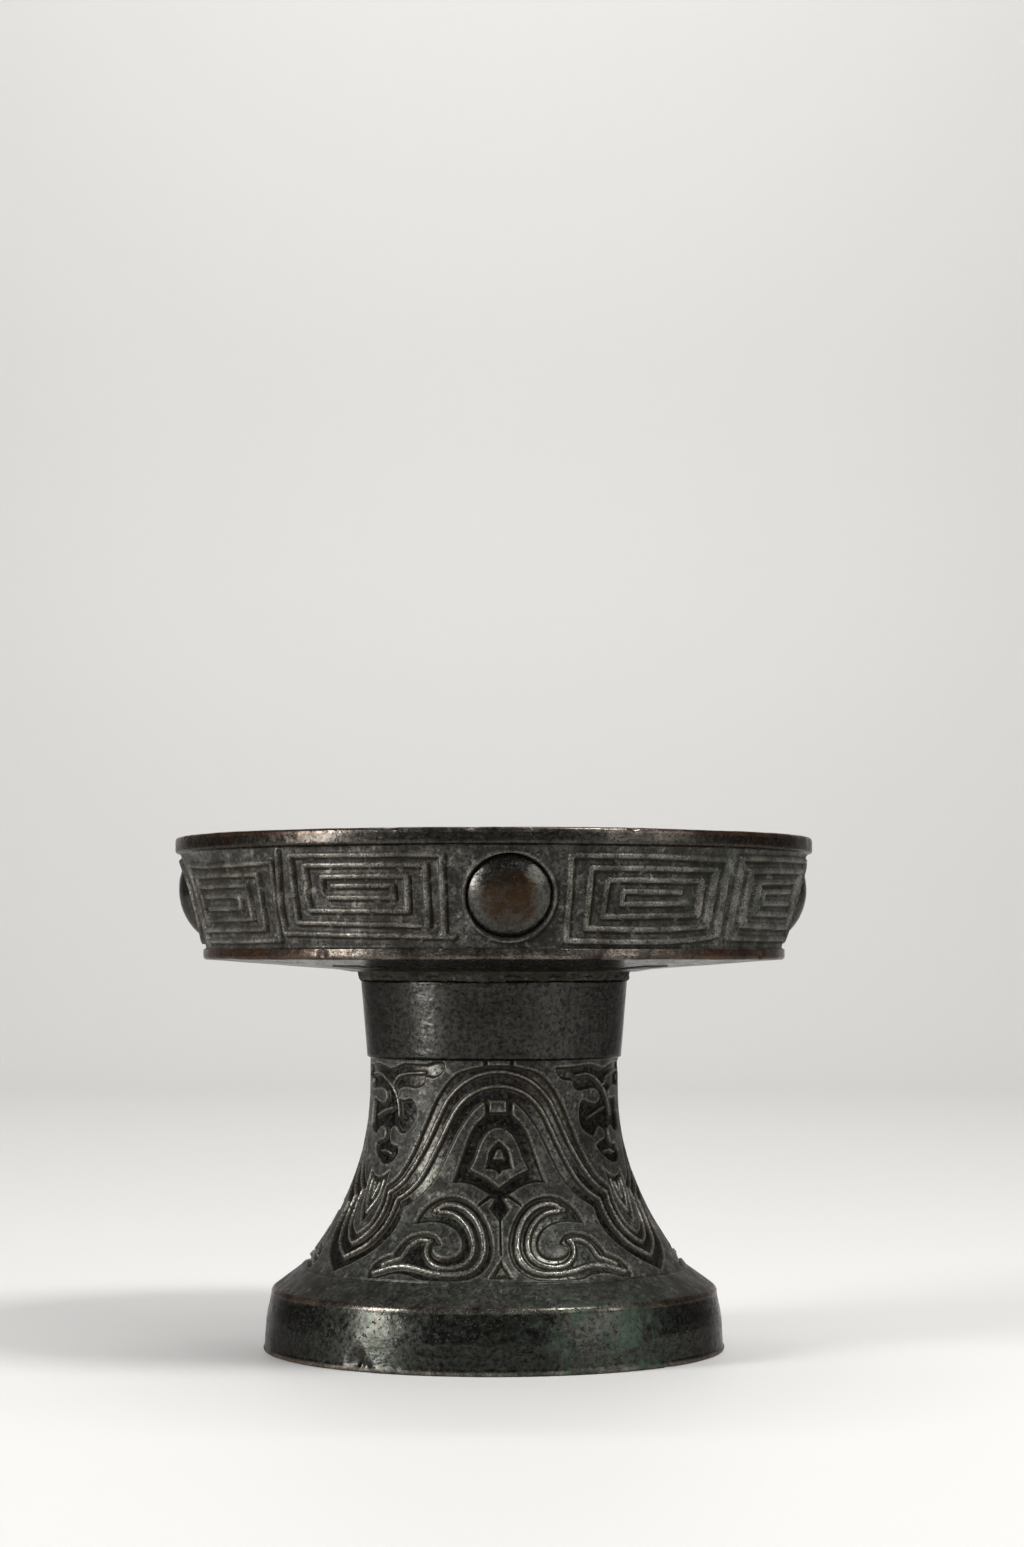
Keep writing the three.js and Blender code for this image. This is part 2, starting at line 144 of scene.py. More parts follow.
class OrnamentSizes(bpy.types.PropertyGroup):
    """Sizes of the cast ornament."""

    ground_depth: length("Ground depth", 0.95, "How deep the pedestal's ground is sunk")
    cove: length("Cove", 0.6, "Width over which sunk ground curves down from an edge")
    dish_line: length("Dish line", 1.3, "Width of the raised lines on the dish")
    dish_ridge: length("Dish ridge", 2.9, "Width of the upright ridges between two spirals")
    dish_rise: length("Dish line rise", 0.8, "Height of the raised lines on the dish")
    dish_ground: length("Dish ground", 0.3, "How far the dish's ground lies under its plain wall")
    groove: length("Groove", 0.3, "Depth of the groove along a raised line's foot")
    soft_edge: length("Soft edge", 0.2, "Width over which a worn edge rounds off")
    ring_rise: length("Ring rise", 0.95, "Height of the raised ring round a boss")
    unevenness: length("Unevenness", 0.5, "Depth of the slow swells of the castings' skin")
    grain: length("Grain", 0.04, "Depth of the grain of the castings' skin")
    wobble: share("Wobble", 0.005, "How far drawn edges stray, as a share of the radius")


class BossSizes(bpy.types.PropertyGroup):
    """Sizes of the bosses on the dish's wall."""

    radius: length("Radius", 10.2, "Radius of a boss")
    dome: length("Dome", 3.0, "How far a boss stands out from the wall")
    edge: length("Edge", 0.8, "How deep a boss's edge lies under the wall")
    seat: length("Seat", 1.6, "How deep a boss sits in the wall")
    moat: length("Moat", 0.6, "Width of the sunk moat round a boss, its clearance included")
    moat_depth: length("Moat depth", 1.0, "Depth of the moat")
    ring: length("Ring", 0.9, "Width of the raised ring round the moat")


class BronzeColours(bpy.types.PropertyGroup):
    """Colours of the patinated bronze."""

    field: colour("Field", (0.082, 0.079, 0.070), "Dull grey of the raised faces")
    gloss: colour("Gloss", (0.037, 0.036, 0.034), "Smooth dark patina of sunk and plain faces")
    dark: colour("Dark", (0.012, 0.0112, 0.0096), "Near black patina")
    # Laid on darker in the ground's corners, and beside raised lines as painted shade with grime
    dirt: colour("Dirt", (0.016, 0.0095, 0.004), "Brown dirt in corners and beside lines")
    worn: colour("Worn edge", (0.080, 0.037, 0.019), "Reddish brown where edges are worn")
    # Rubbed metal, laid on partly as a painted highlight
    bright: colour("Bright edge", (0.33, 0.32, 0.28), "Rubbed metal on the edges of the ornament")
    green: colour("Green", (0.046, 0.078, 0.051), "Green corrosion")
    olive: colour("Olive", (0.024, 0.022, 0.012), "Olive brown crust")
    pale: colour("Pale speck", (0.24, 0.23, 0.20), "Pale specks of bare metal and lime")
    crown: colour("Boss crown", (0.030, 0.017, 0.0085), "Brown crown of the bosses")


class StageSettings(bpy.types.PropertyGroup):
    """Camera, lamps and floor."""

    camera_distance: length("Camera distance", 850, "From the vessel's axis to the camera")
    camera_aside: length("Camera aside", 4.8, "How far right of the axis the camera stands")
    eye_height: length("Eye height", 104.8, "Height of the level camera")
    lens: bpy.props.FloatProperty(
        name="Lens", description="Focal length for a frame 36 mm high", default=73.98,
    )
    horizon_row: bpy.props.FloatProperty(
        name="Horizon row", description="Row of the 1547 rows at eye height", default=955,
    )
    left_lamp: bpy.props.FloatProperty(name="Left lamp", description="Watts", default=17)
    right_lamp: bpy.props.FloatProperty(name="Right lamp", description="Watts", default=4.5)
    top_lamp: bpy.props.FloatProperty(name="Top lamp", description="Watts", default=2.5)
    high_lamp: bpy.props.FloatProperty(name="High lamp", description="Watts", default=9)
    back_lamp: bpy.props.FloatProperty(name="Backdrop lamp", description="Watts", default=22)
    room_light: bpy.props.FloatProperty(name="Room", description="World strength", default=0.11)
    floor: colour("Floor", (0.78, 0.77, 0.75), "Pale floor and backdrop")


SETTINGS = {
    "vessel_pedestal": PedestalSizes,
    "vessel_dish": DishSizes,
    "vessel_ornament": OrnamentSizes,
    "vessel_boss": BossSizes,
    "vessel_colours": BronzeColours,
    "vessel_stage": StageSettings,
}


# Node trees written as expressions

class Field:
    """A socket of a node tree. Sums and products of fields add their Math nodes."""

    def __init__(self, tree, socket=None):
        self.tree = tree
        self.socket = socket

    def node(self, kind, settings=None, inputs=None, output=0):
        """Adds any other node, with its settings before its sockets, and gives one output."""
        made = self.tree.nodes.new(kind)
        for name, value in (settings or {}).items():
            setattr(made, name, value)
        for name, value in (inputs or {}).items():
            if isinstance(value, Field):
                self.tree.links.new(value.socket, made.inputs[name])
            else:
                made.inputs[name].default_value = value
        return Field(self.tree, made.outputs[output])

    def maths(self, operation, *values):
        return self.node("ShaderNodeMath", {"operation": operation}, dict(enumerate(values)))

    def __add__(self, other):
        return self.maths("ADD", self, other)

    __radd__ = __add__

    def __sub__(self, other):
        return self.maths("SUBTRACT", self, other)

    def __rsub__(self, other):
        return self.maths("SUBTRACT", other, self)

    def __mul__(self, other):
        return self.maths("MULTIPLY", self, other)

    __rmul__ = __mul__

    def __truediv__(self, other):
        return self.maths("DIVIDE", self, other)

    def __rtruediv__(self, other):
        return self.maths("DIVIDE", other, self)

    def floor(self):
        return self.maths("FLOOR", self)

    def least(self, other):
        return self.maths("MINIMUM", self, other)

    def most(self, other):
        return self.maths("MAXIMUM", self, other)

    def limited(self):
        """Kept between 0 and 1."""
        return self.most(0.0).least(1.0)

    def rising(self, low, high):
        """0 at low, 1 at high and smooth between. Low may be the larger of the two."""
        limits = {"Value": self, "From Min": low, "From Max": high}
        return self.node("ShaderNodeMapRange", {"interpolation_type": "SMOOTHSTEP"}, limits)

    def blend(self, first, second):
        """The first colour where this is 0, and the second where it is 1."""
        return self.node("ShaderNodeMix", {"data_type": "RGBA"}, {0: self, 6: first, 7: second}, 2)

    def vector(self, operation, *values, output=0, **inputs):
        inputs = {**dict(enumerate((self, *values))), **inputs}
        return self.node("ShaderNodeVectorMath", {"operation": operation}, inputs, output)

    def scaled(self, factor):
        return self.vector("SCALE", Scale=factor)

    def distance(self, place):
        return self.vector("DISTANCE", place, output="Value")

    def noise(self, scale, detail=2.0, seed=0.0, roughness=0.5, output=0):
        """Noise at this place, from 0 to 1."""
        inputs = {
            "Vector": self, "W": seed, "Scale": scale, "Detail": detail, "Roughness": roughness,
        }
        return self.node("ShaderNodeTexNoise", {"noise_dimensions": "4D"}, inputs, output)


SOCKETS = {
    float: "NodeSocketFloat",
    int: "NodeSocketInt",
    bpy.types.Object: "NodeSocketObject",
    bpy.types.Material: "NodeSocketMaterial",
    bpy.types.Mesh: "NodeSocketGeometry",
}


def new_geometry_tree(name, sockets):
    """A tree with a Geometry input and output, and the named inputs. Gives the tree and its inputs."""
    tree = bpy.data.node_groups.new(name, "GeometryNodeTree")
    tree.is_modifier = True
    tree.interface.new_socket("Geometry", in_out="INPUT", socket_type=SOCKETS[bpy.types.Mesh])
    tree.interface.new_socket("Geometry", in_out="OUTPUT", socket_type=SOCKETS[bpy.types.Mesh])
    for label, kind in sockets.items():
        tree.interface.new_socket(label, in_out="INPUT", socket_type=SOCKETS[kind])
    entry = tree.nodes.new("NodeGroupInput")
    return tree, {socket.name: Field(tree, socket) for socket in entry.outputs if socket.name}


def close_geometry_tree(geometry, material):
    """Realizes the instances, sets the material and ends the tree."""
    real = geometry.node("GeometryNodeRealizeInstances", inputs={"Geometry": geometry})
    smooth = geometry.node("GeometryNodeSetShadeSmooth", inputs={"Geometry": real})
    coated = geometry.node(
        "GeometryNodeSetMaterial", inputs={"Geometry": smooth, "Material": material}
    )
    end = geometry.tree.nodes.new("NodeGroupOutput")
    geometry.tree.links.new(coated.socket, end.inputs[0])


def named(geometry, layer):
    return geometry.node("GeometryNodeInputNamedAttribute", {"data_type": "FLOAT"}, {"Name": layer})


def sample(geometry, layer, index):
    """The value of a layer at one vertex."""
    inputs = {"Geometry": geometry, "Value": named(geometry, layer), "Index": index}
    return geometry.node("GeometryNodeSampleIndex", {"data_type": "FLOAT"}, inputs)


def distance_to(geometry, element, place):
    inputs = {"Geometry": geometry, "Sample Position": place}
    return geometry.node("GeometryNodeProximity", {"target_element": element}, inputs, 1)


def nearest(geometry, place):
    """The index of the nearest vertex."""
    inputs = {"Geometry": geometry, "Sample Position": place}
    return geometry.node("GeometryNodeSampleNearest", {"domain": "POINT"}, inputs)


def object_geometry(owner):
    return owner.node("GeometryNodeObjectInfo", inputs={"Object": owner}, output="Geometry")


# Distances between which a layer rises from none to full, from a line or, above 0, into ground

SHADE_FROM_LINE = (0.45 * MM, 0.1 * MM)
GRIME_AND_SHADE_FROM_LINE = (0.5 * MM, 0.1 * MM)
EDGE_BY_GROUND = (-0.6 * MM, -0.1 * MM)
DARK_IN_CORNER = (1.1 * MM, 0.3 * MM)

# Painted shade lies on the lower right side of a raised line, and this share of it, with grime, all
# round

SHADED_SIDE = (-0.005, 0.006, 0)
GRIME_AND_SHADE_ALL_ROUND = 0.35

# Scale and detail of the noises that shape a casting, and how rough its grain is

STRAYS = (160.0, 2.0)
SWELLS = (40.0, 3.0)
GRAINS = (620.0, 3.0)
GRAIN_ROUGHNESS = 0.65


def profile_grid(profile, columns):
    """A grid with a column of vertices for each step of the sweep, and each vertex's place in it."""
    rows = profile.node("GeometryNodeAttributeDomainSize", inputs={"Geometry": profile})
    size = {"Size X": 1.0, "Size Y": 1.0, "Vertices X": columns + 1, "Vertices Y": rows}
    grid = profile.node("GeometryNodeMeshGrid", inputs=size)
    index = profile.node("GeometryNodeInputIndex")
    column = ((index + 0.5) / rows).floor()
    return grid, column, index - column * rows


def split_drawing(drawing):
    """The raised lines of a drawing, the outlines of its ground, and the ground filled in."""
    half_width = named(drawing, "half_width")
    raised = {"Geometry": drawing, "Selection": half_width.maths("GREATER_THAN", half_width, 0)}
    lines = drawing.node("GeometryNodeSeparateGeometry", {"domain": "POINT"}, raised)
    bounds = drawing.node("GeometryNodeSeparateGeometry", {"domain": "POINT"}, raised, 1)
    loops = bounds.node("GeometryNodeMeshToCurve", inputs={"Mesh": bounds})
    filled = loops.node("GeometryNodeFillCurve", inputs={"Curve": loops})
    return lines, bounds, filled


def strayed(flat, skin, given):
    """A place in the drawing, moved a little, so that drawn edges waver as a hand's do."""
    strays = skin.noise(*STRAYS, given["Seed"], output=1).vector("SUBTRACT", (0.5, 0.5, 0.5))
    return flat.vector("ADD", strays.scaled(given["Wobble"]).vector("MULTIPLY", (1, 1, 0)))


def coved_depth(into_ground, given):
    """The depth of the ground, which curves down from its edges."""
    coved = (into_ground / given["Cove"]).limited()
    fall = 1 - (1 - coved) * (1 - coved)
    return given["Ground Depth"] * fall.maths("SQRT", fall)


def skin_swells(skin, given):
    """The swells and grain of cast metal. Both are 0 or less, so the skin stays inside its profile."""
    swells = skin.noise(*SWELLS, given["Seed"]) - 1
    grains = skin.noise(*GRAINS, given["Seed"], GRAIN_ROUGHNESS) - 1
    return swells * given["Unevenness"] + grains * given["Grain"]


def dent_depth(dents, skin):
    """How far the nearest dent knocks the skin in."""
    dent = nearest(dents, skin)
    near = distance_to(dents, "POINTS", skin).rising(sample(dents, "reach", dent), 0.0)
    return near * sample(dents, "depth", dent)


CASTING_INPUTS = {
    "Drawing": bpy.types.Object,
    "Dents": bpy.types.Object,
    "Middle": float,
    "Sweep": float,
    "Stretch": float,
    "Columns": int,
    "Ground Depth": float,
    "Cove": float,
    "Groove": float,
    "Soft Edge": float,
    "Unevenness": float,
    "Grain": float,
    "Wobble": float,
    "Seed": float,
    "Bronze": bpy.types.Material,
}


def turned_casting_tree():
    """Turns a profile about Z, row by row, and works a drawing and some dents into its surface.

    The modifier's own mesh is the profile: one vertex a row, with its radius in x and its height
    in z. The drawing lies in the unrolled plane, in radians, where lengths times the radius are
    metres. Its vertices with a half width above 0 are raised lines, and the rest bound the ground.
    """
    tree, given = new_geometry_tree("turned_casting", CASTING_INPUTS)
    profile = given["Geometry"]
    columns = given["Columns"]
    grid, column, row = profile_grid(profile, columns)

    def at_row(layer):
        return sample(profile, layer, row)

    radius = at_row("radius")
    drawn = at_row("drawn")
    grimed = at_row("grimed")
    across = given["Sweep"] * (column / columns - 0.5)
    angle = given["Middle"] + across
    sine = angle.maths("SINE", angle)
    cosine = angle.maths("COSINE", angle)

    def turned(out, up):
        return out.node("ShaderNodeCombineXYZ", inputs={
            "X": out * sine, "Y": 0 - out * cosine, "Z": up,
        })

    skin = turned(radius, at_row("height"))
    outward = turned(at_row("outward_radius"), at_row("outward_height"))
    flat = skin.node("ShaderNodeCombineXYZ", inputs={
        "X": across * given["Stretch"], "Y": at_row("unrolled"),
    })
    place = strayed(flat, skin, given)

    lines, bounds, filled = split_drawing(object_geometry(given["Drawing"]))
    soft = given["Soft Edge"]
    nearest_line = nearest(lines, place)
    half_width = sample(lines, "half_width", nearest_line)
    from_line = distance_to(lines, "EDGES", place) * radius - half_width
    line = from_line.rising(soft, 0 - soft) * drawn
    outside = distance_to(filled, "FACES", place)
    inside = (distance_to(bounds, "EDGES", place) - 2 * outside) * radius
    into_ground = inside.least(from_line)
    sunk = coved_depth(into_ground, given) * drawn

    beside = place.vector("ADD", SHADED_SIDE)
    from_shade = distance_to(lines, "EDGES", beside) * radius - half_width
    shaded = from_shade.rising(*SHADE_FROM_LINE) * (1 - line) * drawn
    relief = line * sample(lines, "rise", nearest_line) - sunk - shaded * given["Groove"]
    uneven = skin_swells(skin, given) * at_row("loose")
    dented = dent_depth(object_geometry(given["Dents"]), skin)
    offset = outward.scaled(relief + uneven - dented)
    shaped = grid.node("GeometryNodeSetPosition", inputs={
        "Geometry": grid, "Position": skin.vector("ADD", offset),
    })

    ground = inside.rising(0 - soft, soft) * drawn * (1 - line)
    # Darker in the ground's corners, and painted shade with grime beside the raised lines
    corner = into_ground.rising(*DARK_IN_CORNER) * ground
    beside_line = shaded.most(GRIME_AND_SHADE_ALL_ROUND * from_line.rising(*GRIME_AND_SHADE_FROM_LINE)) * grimed
    layers = {
        "ground": ground,
        "edge": inside.rising(*EDGE_BY_GROUND) * (1 - ground) * drawn * (1 - grimed),
        "dirt": corner.most(beside_line),
        "line": line,
        "worn": at_row("worn"),
        "plain": at_row("plain"),
    }
    for layer, value in layers.items():
        shaped = shaped.node("GeometryNodeStoreNamedAttribute", inputs={
            "Geometry": shaped, "Name": layer, "Value": value,
        })
    merged = shaped.node("GeometryNodeMergeByDistance", inputs={
        "Geometry": shaped, "Distance": MERGE_DISTANCE,
    })
    close_geometry_tree(merged, given["Bronze"])
    return tree


def ring_of_pieces_tree():
    """Sets copies of one piece round the axis, and makes their skins uneven, each in its own way."""
    tree, given = new_geometry_tree("ring_of_pieces", {
        "Count": int,
        "First": float,
        "Unevenness": float,
        "Lumps": float,
        "Seed": float,
        "Bronze": bpy.types.Material,
    })
    piece = given["Geometry"]
    count = given["Count"]
    centres = piece.node("GeometryNodePoints", inputs={"Count": count})
    index = piece.node("GeometryNodeInputIndex")
    angle = given["First"] + index * (math.tau / count)
    spin = angle.node("ShaderNodeCombineXYZ", inputs={"Z": angle})
    ring = piece.node("GeometryNodeInstanceOnPoints", inputs={
        "Points": centres, "Instance": piece, "Rotation": spin,
    })
    real = ring.node("GeometryNodeRealizeInstances", inputs={"Geometry": ring})
    place = ring.node("GeometryNodeInputPosition")
    outward = ring.node("GeometryNodeInputNormal")
    uneven = (place.noise(given["Lumps"], 3.0, given["Seed"]) - 0.5) * given["Unevenness"]
    shaped = real.node("GeometryNodeSetPosition", inputs={
        "Geometry": real, "Offset": outward.scaled(uneven),
    })
    close_geometry_tree(shaped, given["Bronze"])
    return tree


def grown(name, mesh, tree, inputs):
    """Runs a tree on a mesh and gives a new object with the plain mesh that comes of it."""
    piece = bpy.data.objects.new(name, mesh)
    bpy.context.scene.collection.objects.link(piece)
    modifier = piece.modifiers.new(tree.name, "NODES")
    modifier.node_group = tree
    for item in tree.interface.items_tree:
        if item.in_out == "INPUT" and item.name in inputs:
            modifier[item.identifier] = inputs[item.name]
    depsgraph = bpy.context.evaluated_depsgraph_get()
    evaluated = piece.evaluated_get(depsgraph)
    result = bpy.data.meshes.new_from_object(
        evaluated, preserve_all_data_layers=True, depsgraph=depsgraph
    )
    if not result.polygons:
        raise RuntimeError(f"{name} came out empty")
    piece.modifiers.clear()
    piece.data = result
    result.name = name
    bpy.data.meshes.remove(mesh)
    return piece


# Profiles

class Profile:
    """The closed outline that a casting is turned from, anticlockwise in radius and height."""

    LAYERS = ("drawn", "grimed", "worn", "plain", "loose")

    def __init__(self):
        self.points = []
        self.layers = []

    def along(self, points, spacing, **layers):
        """Goes on through points, with rows no further apart than spacing."""
        values = [layers.get(name, 1.0 if name == "loose" else 0.0) for name in self.LAYERS]
        for point in points:
            start = np.array(self.points[-1] if self.points else point)
            reach = np.array(point) - start
            steps = max(1, math.ceil(np.linalg.norm(reach) / spacing - 0.01))
            for step in range(1, steps + 1):
                self.points.append(tuple(start + reach * step / steps))
                self.layers.append(values)

    def unrolled(self):
        """The height of each row in the unrolled plane, which keeps angles true."""
        points = np.array(self.points)
        steps = np.linalg.norm(np.diff(points, axis=0), axis=1)
        middle = np.maximum((points[1:, 0] + points[:-1, 0]) / 2, MM)
        return np.concatenate([[0], np.cumsum(steps / middle)])

    def up(self, height):
        """Where a height on the ornamented stretch lies in the unrolled plane."""
        drawn = np.array(self.layers)[:, 0] > 0
        heights = np.array(self.points)[drawn, 1]
        rows = self.unrolled()[drawn]
        slope = (rows[-1] - rows[0]) / (heights[-1] - heights[0])
        beyond = height - np.clip(height, heights[0], heights[-1])
        return float(np.interp(height, heights, rows) + beyond * slope)

    def mesh(self, name):
        points = np.array(self.points)
        closed = np.allclose(points[0], points[-1])
        before = np.roll(points, 1, axis=0)
        after = np.roll(points, -1, axis=0)
        if closed:
            before[0] = points[-2]
            after[-1] = points[1]
        else:
            before[0] = points[0]
            after[-1] = points[-1]
        way = after - before
        way /= np.linalg.norm(way, axis=1)[:, None]
        mesh = bpy.data.meshes.new(name)
        mesh.from_pydata([(radius, 0, height) for radius, height in points], [], [])
        values = {
            "radius": points[:, 0],
            "height": points[:, 1],
            "outward_radius": way[:, 1],
            "outward_height": -way[:, 0],
            "unrolled": self.unrolled(),
        }
        values.update(zip(self.LAYERS, np.array(self.layers).T))
        for layer, numbers in values.items():
            attribute = mesh.attributes.new(layer, "FLOAT", "POINT")
            attribute.data.foreach_set("value", np.asarray(numbers, np.float32))
        return mesh


def rounded(before, corner, after, radius, steps=4):
    """A corner drawn as a curve that starts and ends radius away from it."""
    start = Vector(corner) + (Vector(before) - Vector(corner)).normalized() * radius
    end = Vector(corner) + (Vector(after) - Vector(corner)).normalized() * radius
    handles = [start.lerp(Vector(corner), 0.6), end.lerp(Vector(corner), 0.6)]
    return [tuple(point) for point in interpolate_bezier(start, *handles, end, steps + 1)]


# Drawings in the unrolled plane

class Drawing:
    """Ornament given in degrees from its middle and millimetres of height over the ground."""

    LONGEST_STEP = 0.008
    WAY_FOR_HANDLES = 3.0

    def __init__(self, profile):
        self.profile = profile
        self.mesh = bmesh.new()
        self.half_width = self.mesh.verts.layers.float.new("half_width")
        self.rise = self.mesh.verts.layers.float.new("rise")

    def flat(self, degrees, millimetres):
        return Vector((math.radians(degrees), self.profile.up(millimetres * MM), 0))

    def smooth(self, stroke, closed):
        """Points close together on a curve through the stroke, which keeps its sharp corners."""
        knots = [self.flat(*point[:2]) for point in stroke]
        sharp = [len(point) > 2 for point in stroke]
        count = len(knots)
        ends = range(count if closed else count - 1)

        def handle(i, other):
            reach = (knots[other] - knots[i]).length / self.WAY_FOR_HANDLES
            if sharp[i] or (not closed and i in (0, count - 1)):
                return knots[i].lerp(knots[other], 1 / self.WAY_FOR_HANDLES)
            way = (knots[(i + 1) % count] - knots[i - 1]).normalized()
            forward = way.dot(knots[other] - knots[i]) > 0
            return knots[i] + way * (reach if forward else -reach)

        points = []
        for i in ends:
            j = (i + 1) % count
            steps = max(1, math.ceil((knots[j] - knots[i]).length / self.LONGEST_STEP))
            curve = interpolate_bezier(
                knots[i], handle(i, j), handle(j, i), knots[j], steps + 1
            )
            points += curve[:-1]
        return points if closed else points + [knots[-1]]

    def add(self, points, closed, width=0.0, rise=0.0):
        made = [self.mesh.verts.new(point) for point in points]
        for vertex in made:
            vertex[self.half_width] = width / 2
            vertex[self.rise] = rise
        for first, second in zip(made, made[1:] + made[:1] if closed else made[1:]):
            self.mesh.edges.new((first, second))

    def ground(self, stroke):
        """A closed outline. Ground lies inside it, and an outline within it bounds an island."""
        self.add(self.smooth(stroke, True), True)

    def line(self, stroke, width, rise=0.0, closed=False):
        self.add(self.smooth(stroke, closed), closed, width, rise)

    def finish(self, name):
        mesh = bpy.data.meshes.new(name)
        self.mesh.to_mesh(mesh)
        self.mesh.free()
        return helper(name, mesh)


def helper(name, mesh):
    """An object that only a tree reads. It is removed once the casting is made."""
    made = bpy.data.objects.new(name, mesh)
    bpy.context.scene.collection.objects.link(made)
    return made


def discard(*helpers):
    for made in helpers:
        mesh = made.data
        bpy.data.objects.remove(made)
        bpy.data.meshes.remove(mesh)


def dents_object(name, dents):
    """Points that knock a surface in, from rows of angle, radius, height, reach and depth."""
    mesh = bpy.data.meshes.new(name)
    places = []
    for degrees, radius, height, _, _ in dents:
        angle = math.radians(degrees)
        places.append((radius * math.sin(angle) * MM, -radius * math.cos(angle) * MM, height * MM))
    mesh.from_pydata(places, [], [])
    for layer, column in (("reach", 3), ("depth", 4)):
        attribute = mesh.attributes.new(layer, "FLOAT", "POINT")
        attribute.data.foreach_set("value", [row[column] * MM for row in dents])
    return helper(name, mesh)


def mirrored(stroke):
    return [(-point[0], *point[1:]) for point in reversed(stroke)]


def moved(stroke, degrees):
    return [(point[0] + degrees, *point[1:]) for point in stroke]


def past_edge(stroke, edge, points=4):
    """How a stroke that ends at a sector's edge goes on in the next one, which mirrors it."""
    return moved(mirrored(stroke[-1 - points:-1]), 2 * edge)


# The waves, horns, eye and scrolls of the pedestal, right of the crest

WAVE_TOP = [
    (7.0, 76.3, SHARP), (15, 75.2), (20, 73.9), (25, 71), (30, 66.6), (35, 60), (40, 52.8),
    (45, 47.6), (50.4, 44.9, SHARP), (49.9, 41), (51.5, 36), (54, 34), (57, 32.8, SHARP),
]
WAVE_FIRST_LINE = [
    (0, 74.8), (10, 73.7), (17.5, 71.1), (23.5, 67.5), (28, 62.5), (33.8, 55), (40.7, 47.5),
    (44, 45.3), (47.9, 43.6, SHARP), (47.4, 40.5), (49.5, 35.1), (53.8, 31.8), (57, 30.6, SHARP),
]
WAVE_SECOND_LINE = [
    (0, 71.1), (10, 69.8), (17.5, 66.5), (22, 62.5), (27.7, 55), (33.5, 47.5), (36.5, 45),
    (39, 43.6), (42.6, 42.1, SHARP), (42.8, 39.5), (44.6, 35), (49.3, 30.5), (57, 27.2, SHARP),
]
WAVE_BOTTOM = [
    (6.8, 67, SHARP), (11.5, 64.5), (17, 60), (20.9, 55), (26.4, 47.5), (31.8, 43),
    (37.8, 40.1, SHARP), (38, 37.5), (39.6, 33.6), (43.8, 29.7), (49.5, 26.5), (57, 23.4, SHARP),
]
HORN_INSIDE = [
    (6.2, 65.2), (6.6, 63.5, SHARP), (10.8, 61), (14.2, 57), (16.6, 52), (17.8, 49.6),
    (19.2, 46.6, SHARP), (15, 46.7), (11, 46.2), (7.5, 45.2), (4.1, 43.9, SHARP),
    (8.5, 41.4, SHARP), (8.1, 40.7, SHARP), (3.2, 43.0, SHARP), (1.9, 42.8, SHARP),
    (4.0, 40.4, SHARP), (0.5, 37.4, SHARP), (0.45, 29, SHARP),
]
CREST_NOTCH = [(4.9, 76.5, SHARP), (4.9, 78.6, SHARP), (7.0, 78.6, SHARP)]
SQUARE = [(-4, 67.3, SHARP), (3.2, 67.3, SHARP), (3.2, 64.5, SHARP), (-4, 64.5, SHARP)]
EYE = [(0, 60.5), (4.5, 59.5), (7.8, 56.5), (10.2, 52.3), (12, 50, SHARP), (5, 47.9)]
EYE_POINT = [(0, 45.6, SHARP)]
PUPIL = [(0, 57.2, SHARP), (2, 56.2), (4, 54.7), (5.2, 51.8), (5.9, 50.2, SHARP), (1.5, 49.8)]
PUPIL_POINT = [(0, 48.7, SHARP)]
PUPIL_STONE = [(-0.8, 54.9, SHARP), (0.8, 54.9, SHARP), (2.1, 52.7, SHARP), (-2.3, 52.7, SHARP)]
LOW_TRIANGLE = [(0, 28.2, SHARP), (3.7, 23.5, SHARP), (-3.7, 23.5, SHARP)]
LOW_TRIANGLE_STONE = [(0, 26.3, SHARP), (1.3, 24.5, SHARP), (-1.3, 24.5, SHARP)]
SCROLL = [
    (31.4, 36.2, SHARP), (30.3, 38.5), (27.3, 41.2), (22.5, 42.9), (17, 43.2), (11.5, 42.1),
    (7.5, 39.9), (4.3, 36.5), (2.6, 32.5), (2.7, 29), (4.8, 25.7), (8.8, 23.5), (15, 22.8),
    (24, 23.1), (28, 24), (33, 24.1), (37.7, 23), (41.2, 22.7, SHARP), (42.2, 24), (41, 26.8),
    (37.5, 28.4), (35.8, 28.6, SHARP), (35, 30.4), (32.5, 32.8), (28, 34), (23.3, 33.9),
    (20.7, 32.6), (19.5, 31.3, SHARP), (21, 31.2), (22.4, 30.5), (21.3, 29.1), (18, 28.4),
    (14.5, 28.9), (12.8, 30.7), (13.4, 33.2), (16, 35.3), (20.5, 36.6), (26, 36.8),
]
SCROLL_OUTER_LINE = [
    (24.5, 39.8), (20.5, 41.3), (15, 41), (10, 38.9), (6.8, 35.5), (5.5, 31.5), (6.3, 28.2),
    (9.5, 25.5), (15, 24.7), (22, 25.2), (28, 26.2), (34, 26), (40.5, 24.3),
]
SCROLL_INNER_LINE = [
    (22.5, 39.6), (17, 39.1), (12.5, 37), (9.8, 34), (9, 30.5), (10.7, 27.7), (15, 26.3),
    (20, 26.6), (23.7, 28.6), (24.8, 31.2), (23.6, 32.4, SHARP), (27.5, 32.6), (31, 31),
    (32.5, 28.2, SHARP), (36.5, 27), (38.5, 26.2),
]

# The leaves that hang over each trough of the wave, from its middle

